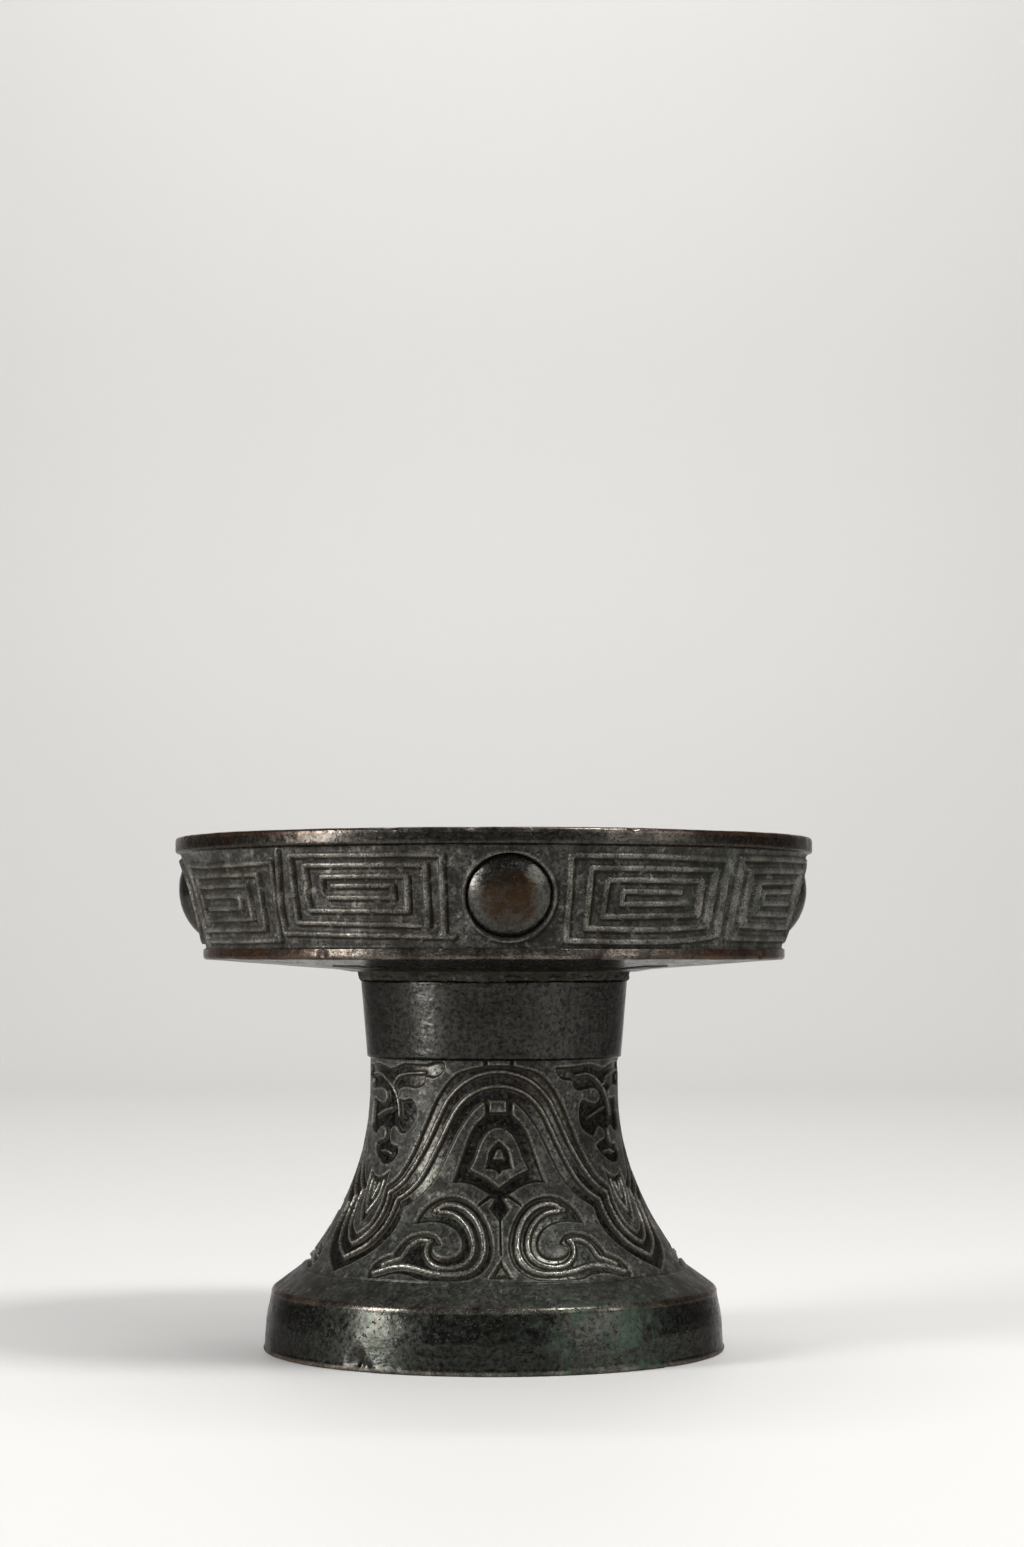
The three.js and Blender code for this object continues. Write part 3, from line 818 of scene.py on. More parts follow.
LEAVES = [
    (-30.5, 75.8, SHARP), (-19, 76), (-11, 76.5), (-4, 75.9), (0, 75.3), (4, 75.7), (9.5, 76.7),
    (22, 76.6), (28, 77.3), (32, 76.8), (31, 74.5), (27, 73.1), (22.5, 73.3, SHARP), (21.5, 71.3),
    (17, 70.3), (11, 70.6), (7, 70), (5.2, 67.6, SHARP), (10, 67.2), (14.8, 67.4), (18, 64.4),
    (16.5, 61.4), (12.5, 58.8), (9, 58.7), (5.5, 60.2), (2.8, 59.9), (2.2, 58), (3.2, 56.1),
    (5.4, 55.5), (8.5, 55.1), (9.2, 53.2), (6, 51), (1, 50.6), (-2.5, 51.7), (-6, 53),
    (-9, 55.4, SHARP), (-5, 56.6), (-2, 57), (-1.4, 58.6), (-3, 59.9), (-6, 59.9), (-9.5, 58),
    (-13.5, 58.6), (-17, 60.3), (-17.8, 62.8), (-16.8, 66.3), (-14.5, 67.4, SHARP), (-10, 66.4),
    (-5, 66.3), (-2.8, 67.3), (-3.6, 69.2), (-7, 70.1), (-13, 69.9), (-18, 69.7), (-20.7, 71),
    (-21.4, 72.2, SHARP), (-27, 72.8), (-29.6, 74.3),
]
LEAF_VEINS = [
    [(-18.5, 73.6), (-11, 73.9), (-3, 72), (3, 69.2), (6.2, 65.5), (7, 62.8)],
    [(21.5, 74.3), (11, 74), (5, 73.1), (1.5, 70.9)],
    [(1.5, 65), (-4, 64.3), (-11, 62.8)],
    [(-3, 53.9), (1, 54), (4.8, 53.3)],
]
TONGUE = [
    (-6.5, 49, SHARP), (-5.9, 44), (-3.6, 39.4), (0, 35.6, SHARP), (3.6, 39.4), (5.9, 44),
    (6.5, 49, SHARP), (3, 47.6), (0, 47.2), (-3, 47.6),
]
TONGUE_LINES = [
    [(-4.1, 46.4), (-3.6, 42.6), (0, 38.4, SHARP), (3.6, 42.6), (4.1, 46.4)],
    [(-1.7, 45.6), (0, 42, SHARP), (1.7, 45.6)],
]

# The squared spirals of the dish, in the quarter round the front boss

LEFT_SPIRAL = [
    [
        (-32, 121.8), (-20.6, 121.8, SHARP), (-20.5, 118.8, SHARP), (-33.2, 119, SHARP),
        (-34.2, 120.5), (-34, 124.1, SHARP), (-17.9, 124, SHARP), (-18.1, 115.5, SHARP),
        (-37.5, 115.8, SHARP), (-37.8, 120), (-37.3, 122.7),
    ],
    [
        (-37.4, 123.7), (-37.4, 126.9, SHARP), (-14.5, 126.7, SHARP), (-14.6, 112, SHARP),
        (-41, 112.9, SHARP), (-40.7, 118), (-40.5, 124),
    ],
    [(-40.3, 125), (-40.2, 129.3, SHARP), (-11.6, 129.1, SHARP), (-11.8, 109.9)],
    [(-10, 109.3), (-27, 109.7), (-44.6, 110.2, SHARP), (-44.4, 118), (-43.4, 126), (-43, 130.4)],
]
RIGHT_SPIRAL = [
    [(32.2, 120.2), (20.4, 120.3, SHARP), (20.3, 117.2, SHARP), (34, 117.5)],
    [(35.6, 123.1), (17.3, 123.1, SHARP), (17, 114.1, SHARP), (36, 114.6)],
    [(38.6, 125.9), (14.2, 125.9, SHARP), (14, 111.2, SHARP), (28, 111), (39, 111.8)],
    [
        (41.4, 128.3), (26, 128.9), (10.5, 128.9, SHARP), (10.5, 108.2, SHARP), (28, 107.9),
        (35, 108.4), (42.4, 109.4),
    ],
]
RIGHT_RIDGES = [
    [(36.5, 122.5), (36.7, 115.2)], [(39.3, 125.3), (39.7, 112.4)], [(42.2, 127.7), (42.8, 110.0)],
]

# The spirals seen at the dish's sides: right of the left boss, and left of the right one

NEAR_LEFT_SPIRAL = [
    [
        (20.5, 119.8), (33.2, 119.6), (34.4, 118.7), (34.1, 116.6, SHARP), (20.7, 116.7),
    ],
    [(18, 122.3), (37.3, 122.4, SHARP), (37.1, 113.9, SHARP), (17.8, 113.8)],
    [(17.5, 125), (41, 125, SHARP), (40.2, 111.3, SHARP), (14, 111.2)],
    [(14.3, 128), (28, 127.4), (45.3, 127.8, SHARP), (44.6, 118), (43.6, 108.5, SHARP), (28, 108.3),
     (13.6, 108.4, SHARP), (14.1, 119), (14.3, 128)],
    [(17.5, 125), (17.9, 119.5), (17.7, 113.8)],
]
NEAR_RIGHT_SPIRAL = [
    [
        (-44.6, 128.9), (-30, 129.2), (-12.6, 129.5, SHARP), (-12.4, 119), (-12.8, 109.1, SHARP),
        (-30, 108.9), (-42.8, 109.1),
    ],
    [
        (-41, 125.8), (-28, 126.3), (-15.5, 126.6, SHARP), (-15.4, 119), (-15.5, 112, SHARP),
        (-28, 112), (-39.6, 112.2),
    ],
    [(-37.6, 123), (-18.4, 123.9, SHARP), (-18.3, 119), (-18.3, 115.3, SHARP), (-36.2, 115.2)],
    [(-21.2, 121.2), (-34.6, 120.8, SHARP), (-33.9, 117.9, SHARP), (-21, 118.1)],
]
NEAR_RIGHT_RIDGES = [
    [(-44.1, 128.3), (-43.7, 109.7)], [(-40.6, 125.2), (-40.2, 112.8)], [(-37, 122.4), (-36.8, 115.8)],
]

# Chips and pits, as angle, radius, height, reach and depth

RIM_DENTS = [
    (-3.4, 84.4, 136.2, 2.2, 0.95),
    (1.9, 84.4, 136.1, 1.1, 0.5),
    (-17, 84.6, 136, 2.6, 0.35),
    (24, 84.6, 136, 2.0, 0.3),
    (97, 84.5, 136, 3.0, 0.5),
    (168, 84.5, 136, 2.4, 0.6),
    (215, 84.5, 136, 3.4, 0.4),
    (290, 84.5, 136, 2.0, 0.5),
    (-33, 77.8, 104.6, 2.4, 0.4),
    (62, 77.8, 104.4, 2.0, 0.4),
]
FOOT_DENTS = [
    (-34.5, 61.5, 2.6, 4.2, 0.7),
    (-31.5, 61.5, 1.2, 2.6, 0.5),
    (2.6, 54.2, 20.6, 1.1, 0.5),
    (4.3, 54.0, 20.8, 1.3, 0.2),
    (6.0, 54.2, 20.6, 1.1, 0.2),
    (47, 61.4, 1.0, 2.4, 0.5),
    (120, 61.0, 3.0, 3.6, 0.5),
    (205, 60.8, 6.0, 3.0, 0.5),
]


# Finishes

class Patches(typing.NamedTuple):
    """A kind of noise, and its levels where there is none of the patches and where they are full."""

    scale: float
    detail: float
    seed: float
    roughness: float
    none: float
    full: float

    def at(self, place):
        noise = place.noise(self.scale, self.detail, self.seed, self.roughness)
        return noise.rising(self.none, self.full)


DRIFTS = Patches(36, 3, 1, 0.5, 0.40, 0.60)
MOTTLE = Patches(170, 6, 2, 0.62, 0.36, 0.66)
SPARKLE = Patches(2400, 3, 4, 0.5, 0.38, 0.62)
PITS = Patches(1300, 3, 5, 0.5, 0.40, 0.31)
RUST = Patches(260, 5, 6, 0.6, 0.46, 0.62)
SPECKS = Patches(560, 3, 15, 0.6, 0.56, 0.66)
CROWN = Patches(330, 5, 12, 0.7, 0.40, 0.58)
CRUST = Patches(420, 5, 6, 0.5, 0.35, 0.6)
CLOUDS = Patches(95, 6, 8, 0.68, 0.44, 0.62)
FLECKS = Patches(520, 4, 10, 0.7, 0.42, 0.62)
HINTS = Patches(30, 3, 9, 0.5, 0.5, 0.7)

# Spots of green, as a middle, the distance where they begin and the distance where they are full

FOOT_SPOTS = (((0.020, -0.058, 0.008), 0.018, 0.006), ((0.037, -0.048, 0.007), 0.016, 0.005))
FOOT_BAND_SPOT = ((0.0, -0.062, 0.004), 0.075, 0.030)
DISH_SPOT = ((0.070, -0.050, 0.119), 0.055, 0.015)


class Patina:
    """The finish of cast bronze, which follows the layers that the trees leave on a casting."""

    # Distances to the left or right between which worn edges go from rubbed bright, with a painted
    # highlight, to brown
    ENDS = (22 * MM, 62 * MM)

    # Scale, detail, seed and, for the grain, roughness
    GRAIN = (900, 4, 3, 0.6)
    RIPPLES = (300, 3, 7)
    ROUGH_SKIN = (650, 2, 13)

    RIPPLE_STRETCH = (1, 1, 2.2)

    def __init__(self, tree, crust, crown):
        nodes = Field(tree)

        def layer(name):
            return nodes.node("ShaderNodeAttribute", {"attribute_name": name}, output="Fac")

        self.crust = crust
        self.crown = crown
        self.ground = layer("ground")
        self.edge = layer("edge")
        self.dirt = layer("dirt")
        self.line = layer("line")
        self.worn = layer("worn")
        self.plain = layer("plain")
        self.glossy = self.ground.most(self.plain)
        self.place = nodes.node("ShaderNodeTexCoord", output="Object")
        self.drifts = DRIFTS.at(self.place)
        self.mottle = MOTTLE.at(self.place)
        self.sparkle = SPARKLE.at(self.place)
        self.pits = PITS.at(self.place)
        self.grain = self.place.noise(*self.GRAIN)
        across = nodes.node("ShaderNodeSeparateXYZ", inputs={0: self.place})
        self.ends = across.maths("ABSOLUTE", across).rising(*self.ENDS)
        self.brown = self.browned()
        self.green = self.greened()

    def browned(self):
        """Where wear has turned an edge brown: all over a crown, else most at the vessel's sides."""
        if self.crown:
            return (self.worn * (0.45 + 0.55 * CROWN.at(self.place))).limited()
        towards_ends = 0.28 + 0.72 * self.ends.most(self.drifts * 0.3)
        return self.worn * towards_ends * (0.30 + 0.70 * self.mottle)

    def greened(self):
        """Green corrosion, thick at the right of the foot and thin in the ground of the dish."""
        clouds = CLOUDS.at(self.place)
        flecks = FLECKS.at(self.place)
        left_spot, right_spot, band, dish = (
            self.place.distance(middle).rising(begin, full)
            for middle, begin, full in (*FOOT_SPOTS, FOOT_BAND_SPOT, DISH_SPOT)
        )
        foot = left_spot.most(right_spot)
        dish = dish * (0.30 + 0.70 * self.dirt)
        cloudy = clouds * (0.95 * foot + 0.5 * dish + 0.06 * HINTS.at(self.place))
        return ((0.75 * cloudy + 0.20 * band * flecks) * (0.45 + 0.55 * flecks)).limited()

    def colour(self):
        """Coats of colour over near black, each laid on by its own amount."""
        glossy = self.glossy
        mottle = self.mottle
        sparkle = self.sparkle
        speckle = self.grain.rising(0.42, 0.57) * 0.65 + sparkle * 0.35
        handled = (0.18 + 0.82 * mottle) * (0.12 + 1.2 * speckle)
        blotches = self.grain.rising(0.50, 0.42) * glossy * 0.6
        glints = self.grain.rising(0.50, 0.60) * glossy * (0.15 + 0.45 * self.ground)
        rusty = RUST.at(self.place) * (0.10 + 0.20 * self.ground + 0.20 * self.plain)
        specks = SPECKS.at(self.place) * (0.15 + 0.45 * mottle) * (1 - 0.85 * glossy)
        coats = [
            (handled.limited(), "field"),
            (glossy * (0.50 + 0.25 * mottle + 0.25 * speckle), "gloss"),
            (blotches, "dark"),
            (glints, "field"),
            (rusty * (1 - self.line), "olive"),
            # Darker corners, and painted shade with grime beside the raised lines
            (self.dirt * (0.75 + 0.25 * self.drifts), "dirt"),
            (specks, "pale"),
        ]
        if self.crown:
            coats += [(0.25 + 0.5 * speckle, "field"), (self.brown, "crown")]
        else:
            # Rubbed metal and painted highlight: brighter edges, raised lines and worn edges away from
            # the vessel's sides
            gleam = self.edge * 0.6 + self.line * (0.15 + 0.45 * mottle)
            gleam = gleam + self.worn * (1 - self.ends) * mottle * 0.7
            gleam = gleam * (0.15 + 0.85 * sparkle)
            coats += [(self.brown, "worn"), (gleam.limited(), "bright")]
        coats.append((self.green, "green"))
        if self.crust:
            coats.append((CRUST.at(self.place) * self.crust, "olive"))
        coats.append((self.pits * 0.8, "dark"))
        colours = {
            name: (*getattr(bpy.context.scene.vessel_colours, name), 1)
            for name in BronzeColours.__annotations__
        }
        shown = colours["dark"]
        for amount, name in coats:
            shown = amount.blend(shown, colours[name])
        return shown

    def roughness(self):
        rough = 0.46 - 0.23 * self.glossy - 0.10 * self.line - 0.06 * self.edge
        rough = rough + 0.12 * (0.5 - self.mottle) + 0.20 * self.dirt + 0.3 * self.pits
        rough = rough + 0.2 * (self.grain - 0.5) + 0.2 * self.green + 0.3 * self.crust
        return rough.limited()

    def metal(self):
        shine = 0.35 + 0.58 * self.glossy.most(self.line * 0.8)
        dulled = (1 - 0.6 * self.dirt) * (1 - 0.3 * self.brown) * (1 - self.green)
        return (shine * dulled * (1 - 0.8 * self.crust)).limited()

    def bumps(self):
        """The height of the finest relief, in millimetres."""
        ripples = self.place.vector("MULTIPLY", self.RIPPLE_STRETCH).noise(*self.RIPPLES)
        rough = (self.place.noise(*self.ROUGH_SKIN) - 0.5) * (0.13 - 0.09 * self.glossy)
        return rough - self.pits * 0.05 + (ripples - 0.5) * (0.04 + 0.10 * self.plain)


# Low values keep the dark metal dark where it mirrors the pale room

INDEX_OF_REFRACTION = 1.32
GRAZING_TINT = (0.5, 0.5, 0.5, 1)


def bronze_coat(name, crust=0.0, crown=False):
    """Patinated bronze. A crust is a share of olive brown cover, and a crown is worn all over."""
    material = bpy.data.materials.new(name)
    material.use_nodes = True
    tree = material.node_tree
    surface = tree.nodes["Principled BSDF"]
    surface.inputs["IOR"].default_value = INDEX_OF_REFRACTION
    surface.inputs["Specular Tint"].default_value = GRAZING_TINT
    patina = Patina(tree, crust, crown)
    bumps = patina.bumps()
    links = {
        "Base Color": patina.colour(),
        "Roughness": patina.roughness(),
        "Metallic": patina.metal(),
        "Normal": bumps.node("ShaderNodeBump", inputs={
            "Height": bumps, "Strength": 1.0, "Distance": MM,
        }),
    }
    for socket, value in links.items():
        tree.links.new(value.socket, surface.inputs[socket])
    return material


# Making the castings

# How far apart the rows of a profile lie round an edge, on a plain face, and where little is seen

EDGE_ROWS = 0.3 * MM
FACE_ROWS = 0.8 * MM
HIDDEN_ROWS = 3 * MM

# How far apart the flare's rows lie, as a share of the radius, and the power and steps of its curve

FLARE_ROWS = 0.0083
FLARE_POWER = 2.25
FLARE_STEPS = 60
INNER_FLARE_STEPS = 14

# Shares of the foot band's height, and how much of its lean is reached there

FOOT_BAND_CURVE = ((0.12, 0.1), (0.25, 0.15), (0.5, 0.28), (0.63, 0.45), (0.76, 0.7), (0.93, 0.96))


def open_loops(shape):
    """The rings of vertices round a shape's openings, with their edges made sharp."""
    edges = dict.fromkeys(edge for edge in shape.edges if edge.is_boundary)
    for edge in edges:
        edge.smooth = False
    loops = []
    while edges:
        edge, _ = edges.popitem()
        loop = list(edge.verts)
        while True:
            onward = next((e for e in loop[-1].link_edges if e in edges), None)
            if onward is None:
                break
            del edges[onward]
            loop.append(onward.other_vert(loop[-1]))
        loops.append(loop[:-1] if loop[0] == loop[-1] else loop)
    return loops


def split_on_axis(loop):
    """Two ends that meet on the axis come as one loop, which is cut where it touches the axis."""
    on_axis = [i for i, vertex in enumerate(loop) if vertex.co.xy.length < MERGE_DISTANCE]
    if len(on_axis) != 2:
        return [loop]
    first, second = on_axis
    return [loop[first:second + 1], loop[second:] + loop[:first + 1]]


def close_ends(mesh):
    """Closes the two flat ends of a casting's sector."""
    shape = bmesh.new()
    shape.from_mesh(mesh)
    ends = [end for loop in open_loops(shape) for end in split_on_axis(loop)]
    middle = sum((vertex.co for vertex in shape.verts), Vector()) / len(shape.verts)
    caps = []
    for end in ends:
        cap = shape.faces.new(end)
        cap.normal_update()
        if cap.normal.dot(end[len(end) // 2].co - middle) < 0:
            cap.normal_flip()
        caps.append(cap)
    bmesh.ops.triangulate(shape, faces=caps)
    shape.to_mesh(mesh)
    shape.free()


def sectors(name, profile, drawings, dents, halves, middles, inputs):
    """Makes a casting in sectors, each small enough for its file. The drawing fits the first."""
    ornament = bpy.context.scene.vessel_ornament
    tree = turned_casting_tree()
    made = []
    labels = ("front", "right", "back", "left") if len(halves) == 4 else ("front", "right", "left")
    for label, drawing, half, middle in zip(labels, drawings, halves, middles):
        sector = grown(f"{name}_{label}", profile.mesh(name), tree, {
            **inputs,
            "Unevenness": ornament.unevenness,
            "Grain": ornament.grain,
            "Wobble": ornament.wobble,
            "Drawing": drawing,
            "Dents": dents,
            "Middle": middle,
            "Sweep": 2 * half,
            "Stretch": halves[0] / half,
        })
        close_ends(sector.data)
        made.append(sector)
    return made


def settle(piece, slot, *nodes):
    """Gives a finished piece its body, hides the model's parts that it stands for; the slot is not used.
    """
    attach(piece, BODY)
    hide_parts(*nodes)


def flare_start(sizes):
    """Radius and height of the point where the flare rises from the shoulder."""
    return (
        sizes.foot_radius - sizes.foot_lean - sizes.shoulder_run,
        sizes.foot_band + sizes.shoulder_rise,
    )


def flare(sizes, bottom, inset, steps):
    """Points up the flare's curve from a height, on its outside or, inset by the wall, inside."""
    start_radius, start_height = flare_start(sizes)
    points = []
    for step in range(steps + 1):
        height = bottom + (sizes.waist_height - bottom) * step / steps
        part = (sizes.waist_height - height) / (sizes.waist_height - start_height)
        widening = (start_radius - sizes.waist_radius) * part ** FLARE_POWER
        points.append((sizes.waist_radius - inset + widening, height))
    return points


def pedestal_profile(sizes):
    """Up the outside, over the stem's head and down the hollow."""
    top = flare_start(sizes)
    flare_foot, shoulder = top
    foot = sizes.foot_radius
    band_top = foot - sizes.foot_lean
    collar = sizes.waist_radius + sizes.collar_step
    head = collar + sizes.collar_spread
    bore = head - sizes.stem_wall
    cavity = foot - sizes.foot_wall
    roof = sizes.foot_band - sizes.foot_wall
    start = (foot - 3.0 * MM, 0)
    ledge = (band_top, sizes.foot_band)
    foot_rounding = 0.8 * MM
    ledge_rounding = 0.9 * MM
    groove_rows = 0.45 * MM
    collar_foot_rows = 0.25 * MM
    groove = [(flare_foot + 0.5 * MM, shoulder - 0.5 * MM), (flare_foot, shoulder - 0.35 * MM)]
    skin = 0.3 * MM
    chamfer = 0.6 * MM
    seat_depth = 6 * MM
    edge_inside = 0.4 * MM

    profile = Profile()
    profile.along([start], EDGE_ROWS, loose=0)
    profile.along(rounded((0, 0), (foot, 0), ledge, foot_rounding), EDGE_ROWS, loose=0, worn=0.8)
    for up, leaned in FOOT_BAND_CURVE:
        point = (foot - leaned * sizes.foot_lean, up * sizes.foot_band)
        profile.along([point], 0.7 * MM, plain=1)
    profile.along(rounded((foot, 0), ledge, top, ledge_rounding), EDGE_ROWS, worn=1, plain=1)
    profile.along(groove, groove_rows, plain=0.2)
    profile.along([top], EDGE_ROWS, plain=0.5)
    for point in flare(sizes, shoulder, 0, FLARE_STEPS)[1:]:
        profile.along([point], FLARE_ROWS * point[0], drawn=1)
    profile.along([(sizes.waist_radius, sizes.collar_bottom - sizes.collar_step)],
                  FLARE_ROWS * sizes.waist_radius, drawn=1)
    profile.along([(collar + skin, sizes.collar_bottom)], collar_foot_rows, plain=1)
    profile.along([(head + skin, sizes.stem_height - chamfer)], FACE_ROWS, plain=1)
    profile.along([(head - chamfer, sizes.stem_height)], 0.4 * MM, plain=1)
    profile.along([(bore, sizes.stem_height), (bore, sizes.stem_height - seat_depth)], 2 * MM, loose=0)
    profile.along([(sizes.waist_radius - sizes.stem_wall, sizes.collar_bottom)], HIDDEN_ROWS, plain=1)
    inside = flare(sizes, shoulder - sizes.stem_wall, sizes.stem_wall, INNER_FLARE_STEPS)
    profile.along(inside[::-1], 4 * MM, plain=1)
    profile.along([(cavity, roof)], HIDDEN_ROWS, plain=1)
    profile.along([(cavity, edge_inside)], HIDDEN_ROWS, plain=1)
    profile.along([(cavity + edge_inside, 0), start], 1 * MM, loose=0)
    return profile


# Widths of the raised lines on the pedestal

WAVE_LINES = ((WAVE_FIRST_LINE, 0.5 * MM), (WAVE_SECOND_LINE, 0.55 * MM))
SCROLL_LINES = ((SCROLL_OUTER_LINE, 1.0 * MM), (SCROLL_INNER_LINE, 0.85 * MM))
VEIN_WIDTH = 0.3 * MM
TONGUE_LINE_WIDTH = 0.9 * MM


def pedestal_drawing(profile):
    """One crest of the wave with what lies under it, and half of each trough beside it."""
    drawing = Drawing(profile)
    top_end = past_edge(WAVE_TOP, WAVE_HALF)
    bottom_end = past_edge(WAVE_BOTTOM, WAVE_HALF)
    right = CREST_NOTCH + WAVE_TOP + top_end + (WAVE_BOTTOM + bottom_end)[::-1] + HORN_INSIDE
    drawing.ground(right + mirrored(right))
    for stroke in (SQUARE, PUPIL_STONE, LOW_TRIANGLE, LOW_TRIANGLE_STONE):
        drawing.ground(stroke)
    drawing.ground(EYE + EYE_POINT + mirrored(EYE[1:]))
    drawing.ground(PUPIL + PUPIL_POINT + mirrored(PUPIL[1:]))
    for stroke, width in WAVE_LINES:
        whole = stroke + past_edge(stroke, WAVE_HALF)
        drawing.line(mirrored(whole[1:]) + whole, width)
    for side in (list, mirrored):
        drawing.ground(side(SCROLL))
        for stroke, width in SCROLL_LINES:
            drawing.line(side(stroke), width)
    for trough in (-WAVE_HALF, WAVE_HALF):
        drawing.ground(moved(LEAVES, trough))
        drawing.ground(moved(TONGUE, trough))
        for stroke in LEAF_VEINS:
            drawing.line(moved(stroke, trough), VEIN_WIDTH)
        for stroke in TONGUE_LINES:
            drawing.line(moved(stroke, trough), TONGUE_LINE_WIDTH)
    return drawing.finish("pedestal_drawing")


class VESSEL_OT_pedestal(bpy.types.Operator):
    """Casts the hollow pedestal with its wave band, in three sectors"""

    bl_idname = "vessel.pedestal"
    bl_label = "Pedestal"

    COLUMNS = 285

    def execute(self, context):
        sizes = context.scene.vessel_pedestal
        ornament = context.scene.vessel_ornament
        profile = pedestal_profile(sizes)
        drawing = pedestal_drawing(profile)
        dents = dents_object("foot_dents", FOOT_DENTS)
        front = sizes.front_half
        side = (math.pi - front) / 2
        made = sectors(
            "pedestal", profile, [drawing] * 3, dents,
            halves=(front, side, side),
            middles=(sizes.turned_by, sizes.turned_by + front + side,
                     sizes.turned_by - front - side),
            inputs={
                "Columns": self.COLUMNS,
                "Ground Depth": ornament.ground_depth,
                "Cove": ornament.cove,
                "Soft Edge": ornament.soft_edge,
                "Seed": 3.0,
                "Bronze": bronze_coat("pedestal_patina"),
            },
        )
        discard(drawing, dents)
        for sector in made:
            settle(sector, "pedestal_bronze", "pedestal")
        return {"FINISHED"}


def dish_heights(sizes):
    """The heights of the dish's wall, flange, floor and underside, which follow from the rim."""
    wall_top = sizes.rim_height - sizes.bead_height
    wall_bottom = wall_top - sizes.wall_height
    flange_bottom = wall_bottom - sizes.flange_height
    underside = flange_bottom - sizes.under_rise
    return wall_top, wall_bottom, flange_bottom, underside


def dish_profile(sizes, ornament):
    """Out under the floor, up the wall, over the rim bead and back over the floor inside."""
    wall_top, wall_bottom, flange_bottom, underside = dish_heights(sizes)
    rim = sizes.rim_radius
    bead_top = sizes.rim_height
    top_radius = rim - sizes.bead_proud
    bottom_radius = top_radius - sizes.wall_cant
    flange = bottom_radius + sizes.flange_proud
    inner_top = top_radius - sizes.wall_thick
    inner_bottom = bottom_radius - sizes.wall_thick
    floor = underside + sizes.floor_thick
    sunk = ornament.dish_ground
    spigot = sizes.spigot_radius
    spigot_inside = spigot - 3 * MM
    spigot_end = underside - sizes.spigot_length
    flat_underside = (38 * MM, underside)
    flat_floor = (40 * MM, floor)
    flange_low = (flange, flange_bottom)
    flange_high = (flange, wall_bottom)
    under_bead = (rim, wall_top)
    bead_edge = (rim, bead_top)
    inner_edge = (inner_top, bead_top)
    inner_wall = (inner_top, wall_top)
    floor_edge = (inner_bottom + 0.5 * MM, flange_bottom + sizes.floor_thick)
    wall_rows = 0.28 * MM
    flange_rounding = 1.1 * MM
    flange_top_rounding = 0.5 * MM
    bead_foot_rounding = 1.0 * MM
    bead_rounding = 1.2 * MM
    inner_rounding = 0.9 * MM
    floor_rounding = 4 * MM

    profile = Profile()
    profile.along([(0, underside)], HIDDEN_ROWS, loose=0)
    profile.along([(spigot_inside, underside), (spigot_inside, spigot_end), (spigot, spigot_end),
                   (spigot, underside)], 12 * MM, loose=0)
    profile.along([flat_underside], HIDDEN_ROWS, loose=0)
    profile.along([(bottom_radius - 2 * MM, flange_bottom - 0.15 * MM)], 4 * MM, plain=1)
    profile.along(rounded(flat_underside, flange_low, flange_high, flange_rounding), EDGE_ROWS,
                  plain=1, worn=0.75)
    flange_top = rounded(flange_low, flange_high, (0, wall_bottom), flange_top_rounding)
    profile.along(flange_top[:3], EDGE_ROWS, plain=1, worn=0.9)
    profile.along([(bottom_radius - sunk, wall_bottom + 0.2 * MM)], EDGE_ROWS, grimed=1)
    profile.along([(top_radius - sunk, wall_top - 0.4 * MM)], wall_rows, drawn=1, grimed=1)
    bead_foot = rounded((top_radius - sunk, wall_top), under_bead, bead_edge, bead_foot_rounding)
    profile.along(bead_foot, EDGE_ROWS, plain=1, worn=0.3)
    profile.along([(rim, bead_top - 1.6 * MM)], 0.5 * MM, plain=1, worn=0.25)
    profile.along(rounded(under_bead, bead_edge, inner_edge, bead_rounding), EDGE_ROWS,
                  plain=1, worn=1)
    profile.along(rounded(bead_edge, inner_edge, inner_wall, inner_rounding), 0.5 * MM,
                  plain=1, worn=1)
    profile.along([inner_wall], 1.5 * MM, plain=1)
    profile.along(rounded(inner_wall, floor_edge, flat_floor, floor_rounding, 6), HIDDEN_ROWS,
                  plain=1)
    profile.along([flat_floor, (0, floor)], 9 * MM, plain=1)
    return profile


def wall_middle(sizes):
    """The radius and height of the middle of the dish's wall, and the angle by which it leans."""
    wall_top, wall_bottom, _, _ = dish_heights(sizes)
    radius = sizes.rim_radius - sizes.bead_proud - sizes.wall_cant / 2
    return radius, (wall_top + wall_bottom) / 2, math.atan(sizes.wall_cant / sizes.wall_height)


def dish_drawing(profile, sizes, ornament, boss, strokes, ridges):
    """The moat and ring round a boss, with the spirals and ridges near it."""
    drawing = Drawing(profile)
    wall_radius, middle, lean = wall_middle(sizes)

    def circle(radius, steps=72):
        points = []
        for step in range(steps):
            angle = math.tau * step / steps
            across = math.degrees(radius * math.sin(angle) / wall_radius)
            points.append((across, (middle + radius * math.cos(angle) * math.cos(lean)) / MM))
        return points

    drawing.ground(circle(boss.radius + boss.moat))
    drawing.line(circle(boss.radius + boss.moat + boss.ring / 2), boss.ring, ornament.ring_rise,
                 closed=True)
    for stroke in strokes:
        drawing.line(stroke, ornament.dish_line, ornament.dish_rise)
    for stroke in ridges:
        drawing.line(stroke, ornament.dish_ridge, ornament.dish_rise)
    return drawing.finish("dish_drawing")


# The spirals and the ridges of each quarter: front, right, back and left

DISH_QUARTERS = (
    (LEFT_SPIRAL + RIGHT_SPIRAL, RIGHT_RIDGES),
    (NEAR_RIGHT_SPIRAL + RIGHT_SPIRAL, NEAR_RIGHT_RIDGES + RIGHT_RIDGES),
    (LEFT_SPIRAL + RIGHT_SPIRAL, RIGHT_RIDGES),
    (LEFT_SPIRAL + NEAR_LEFT_SPIRAL, []),
)


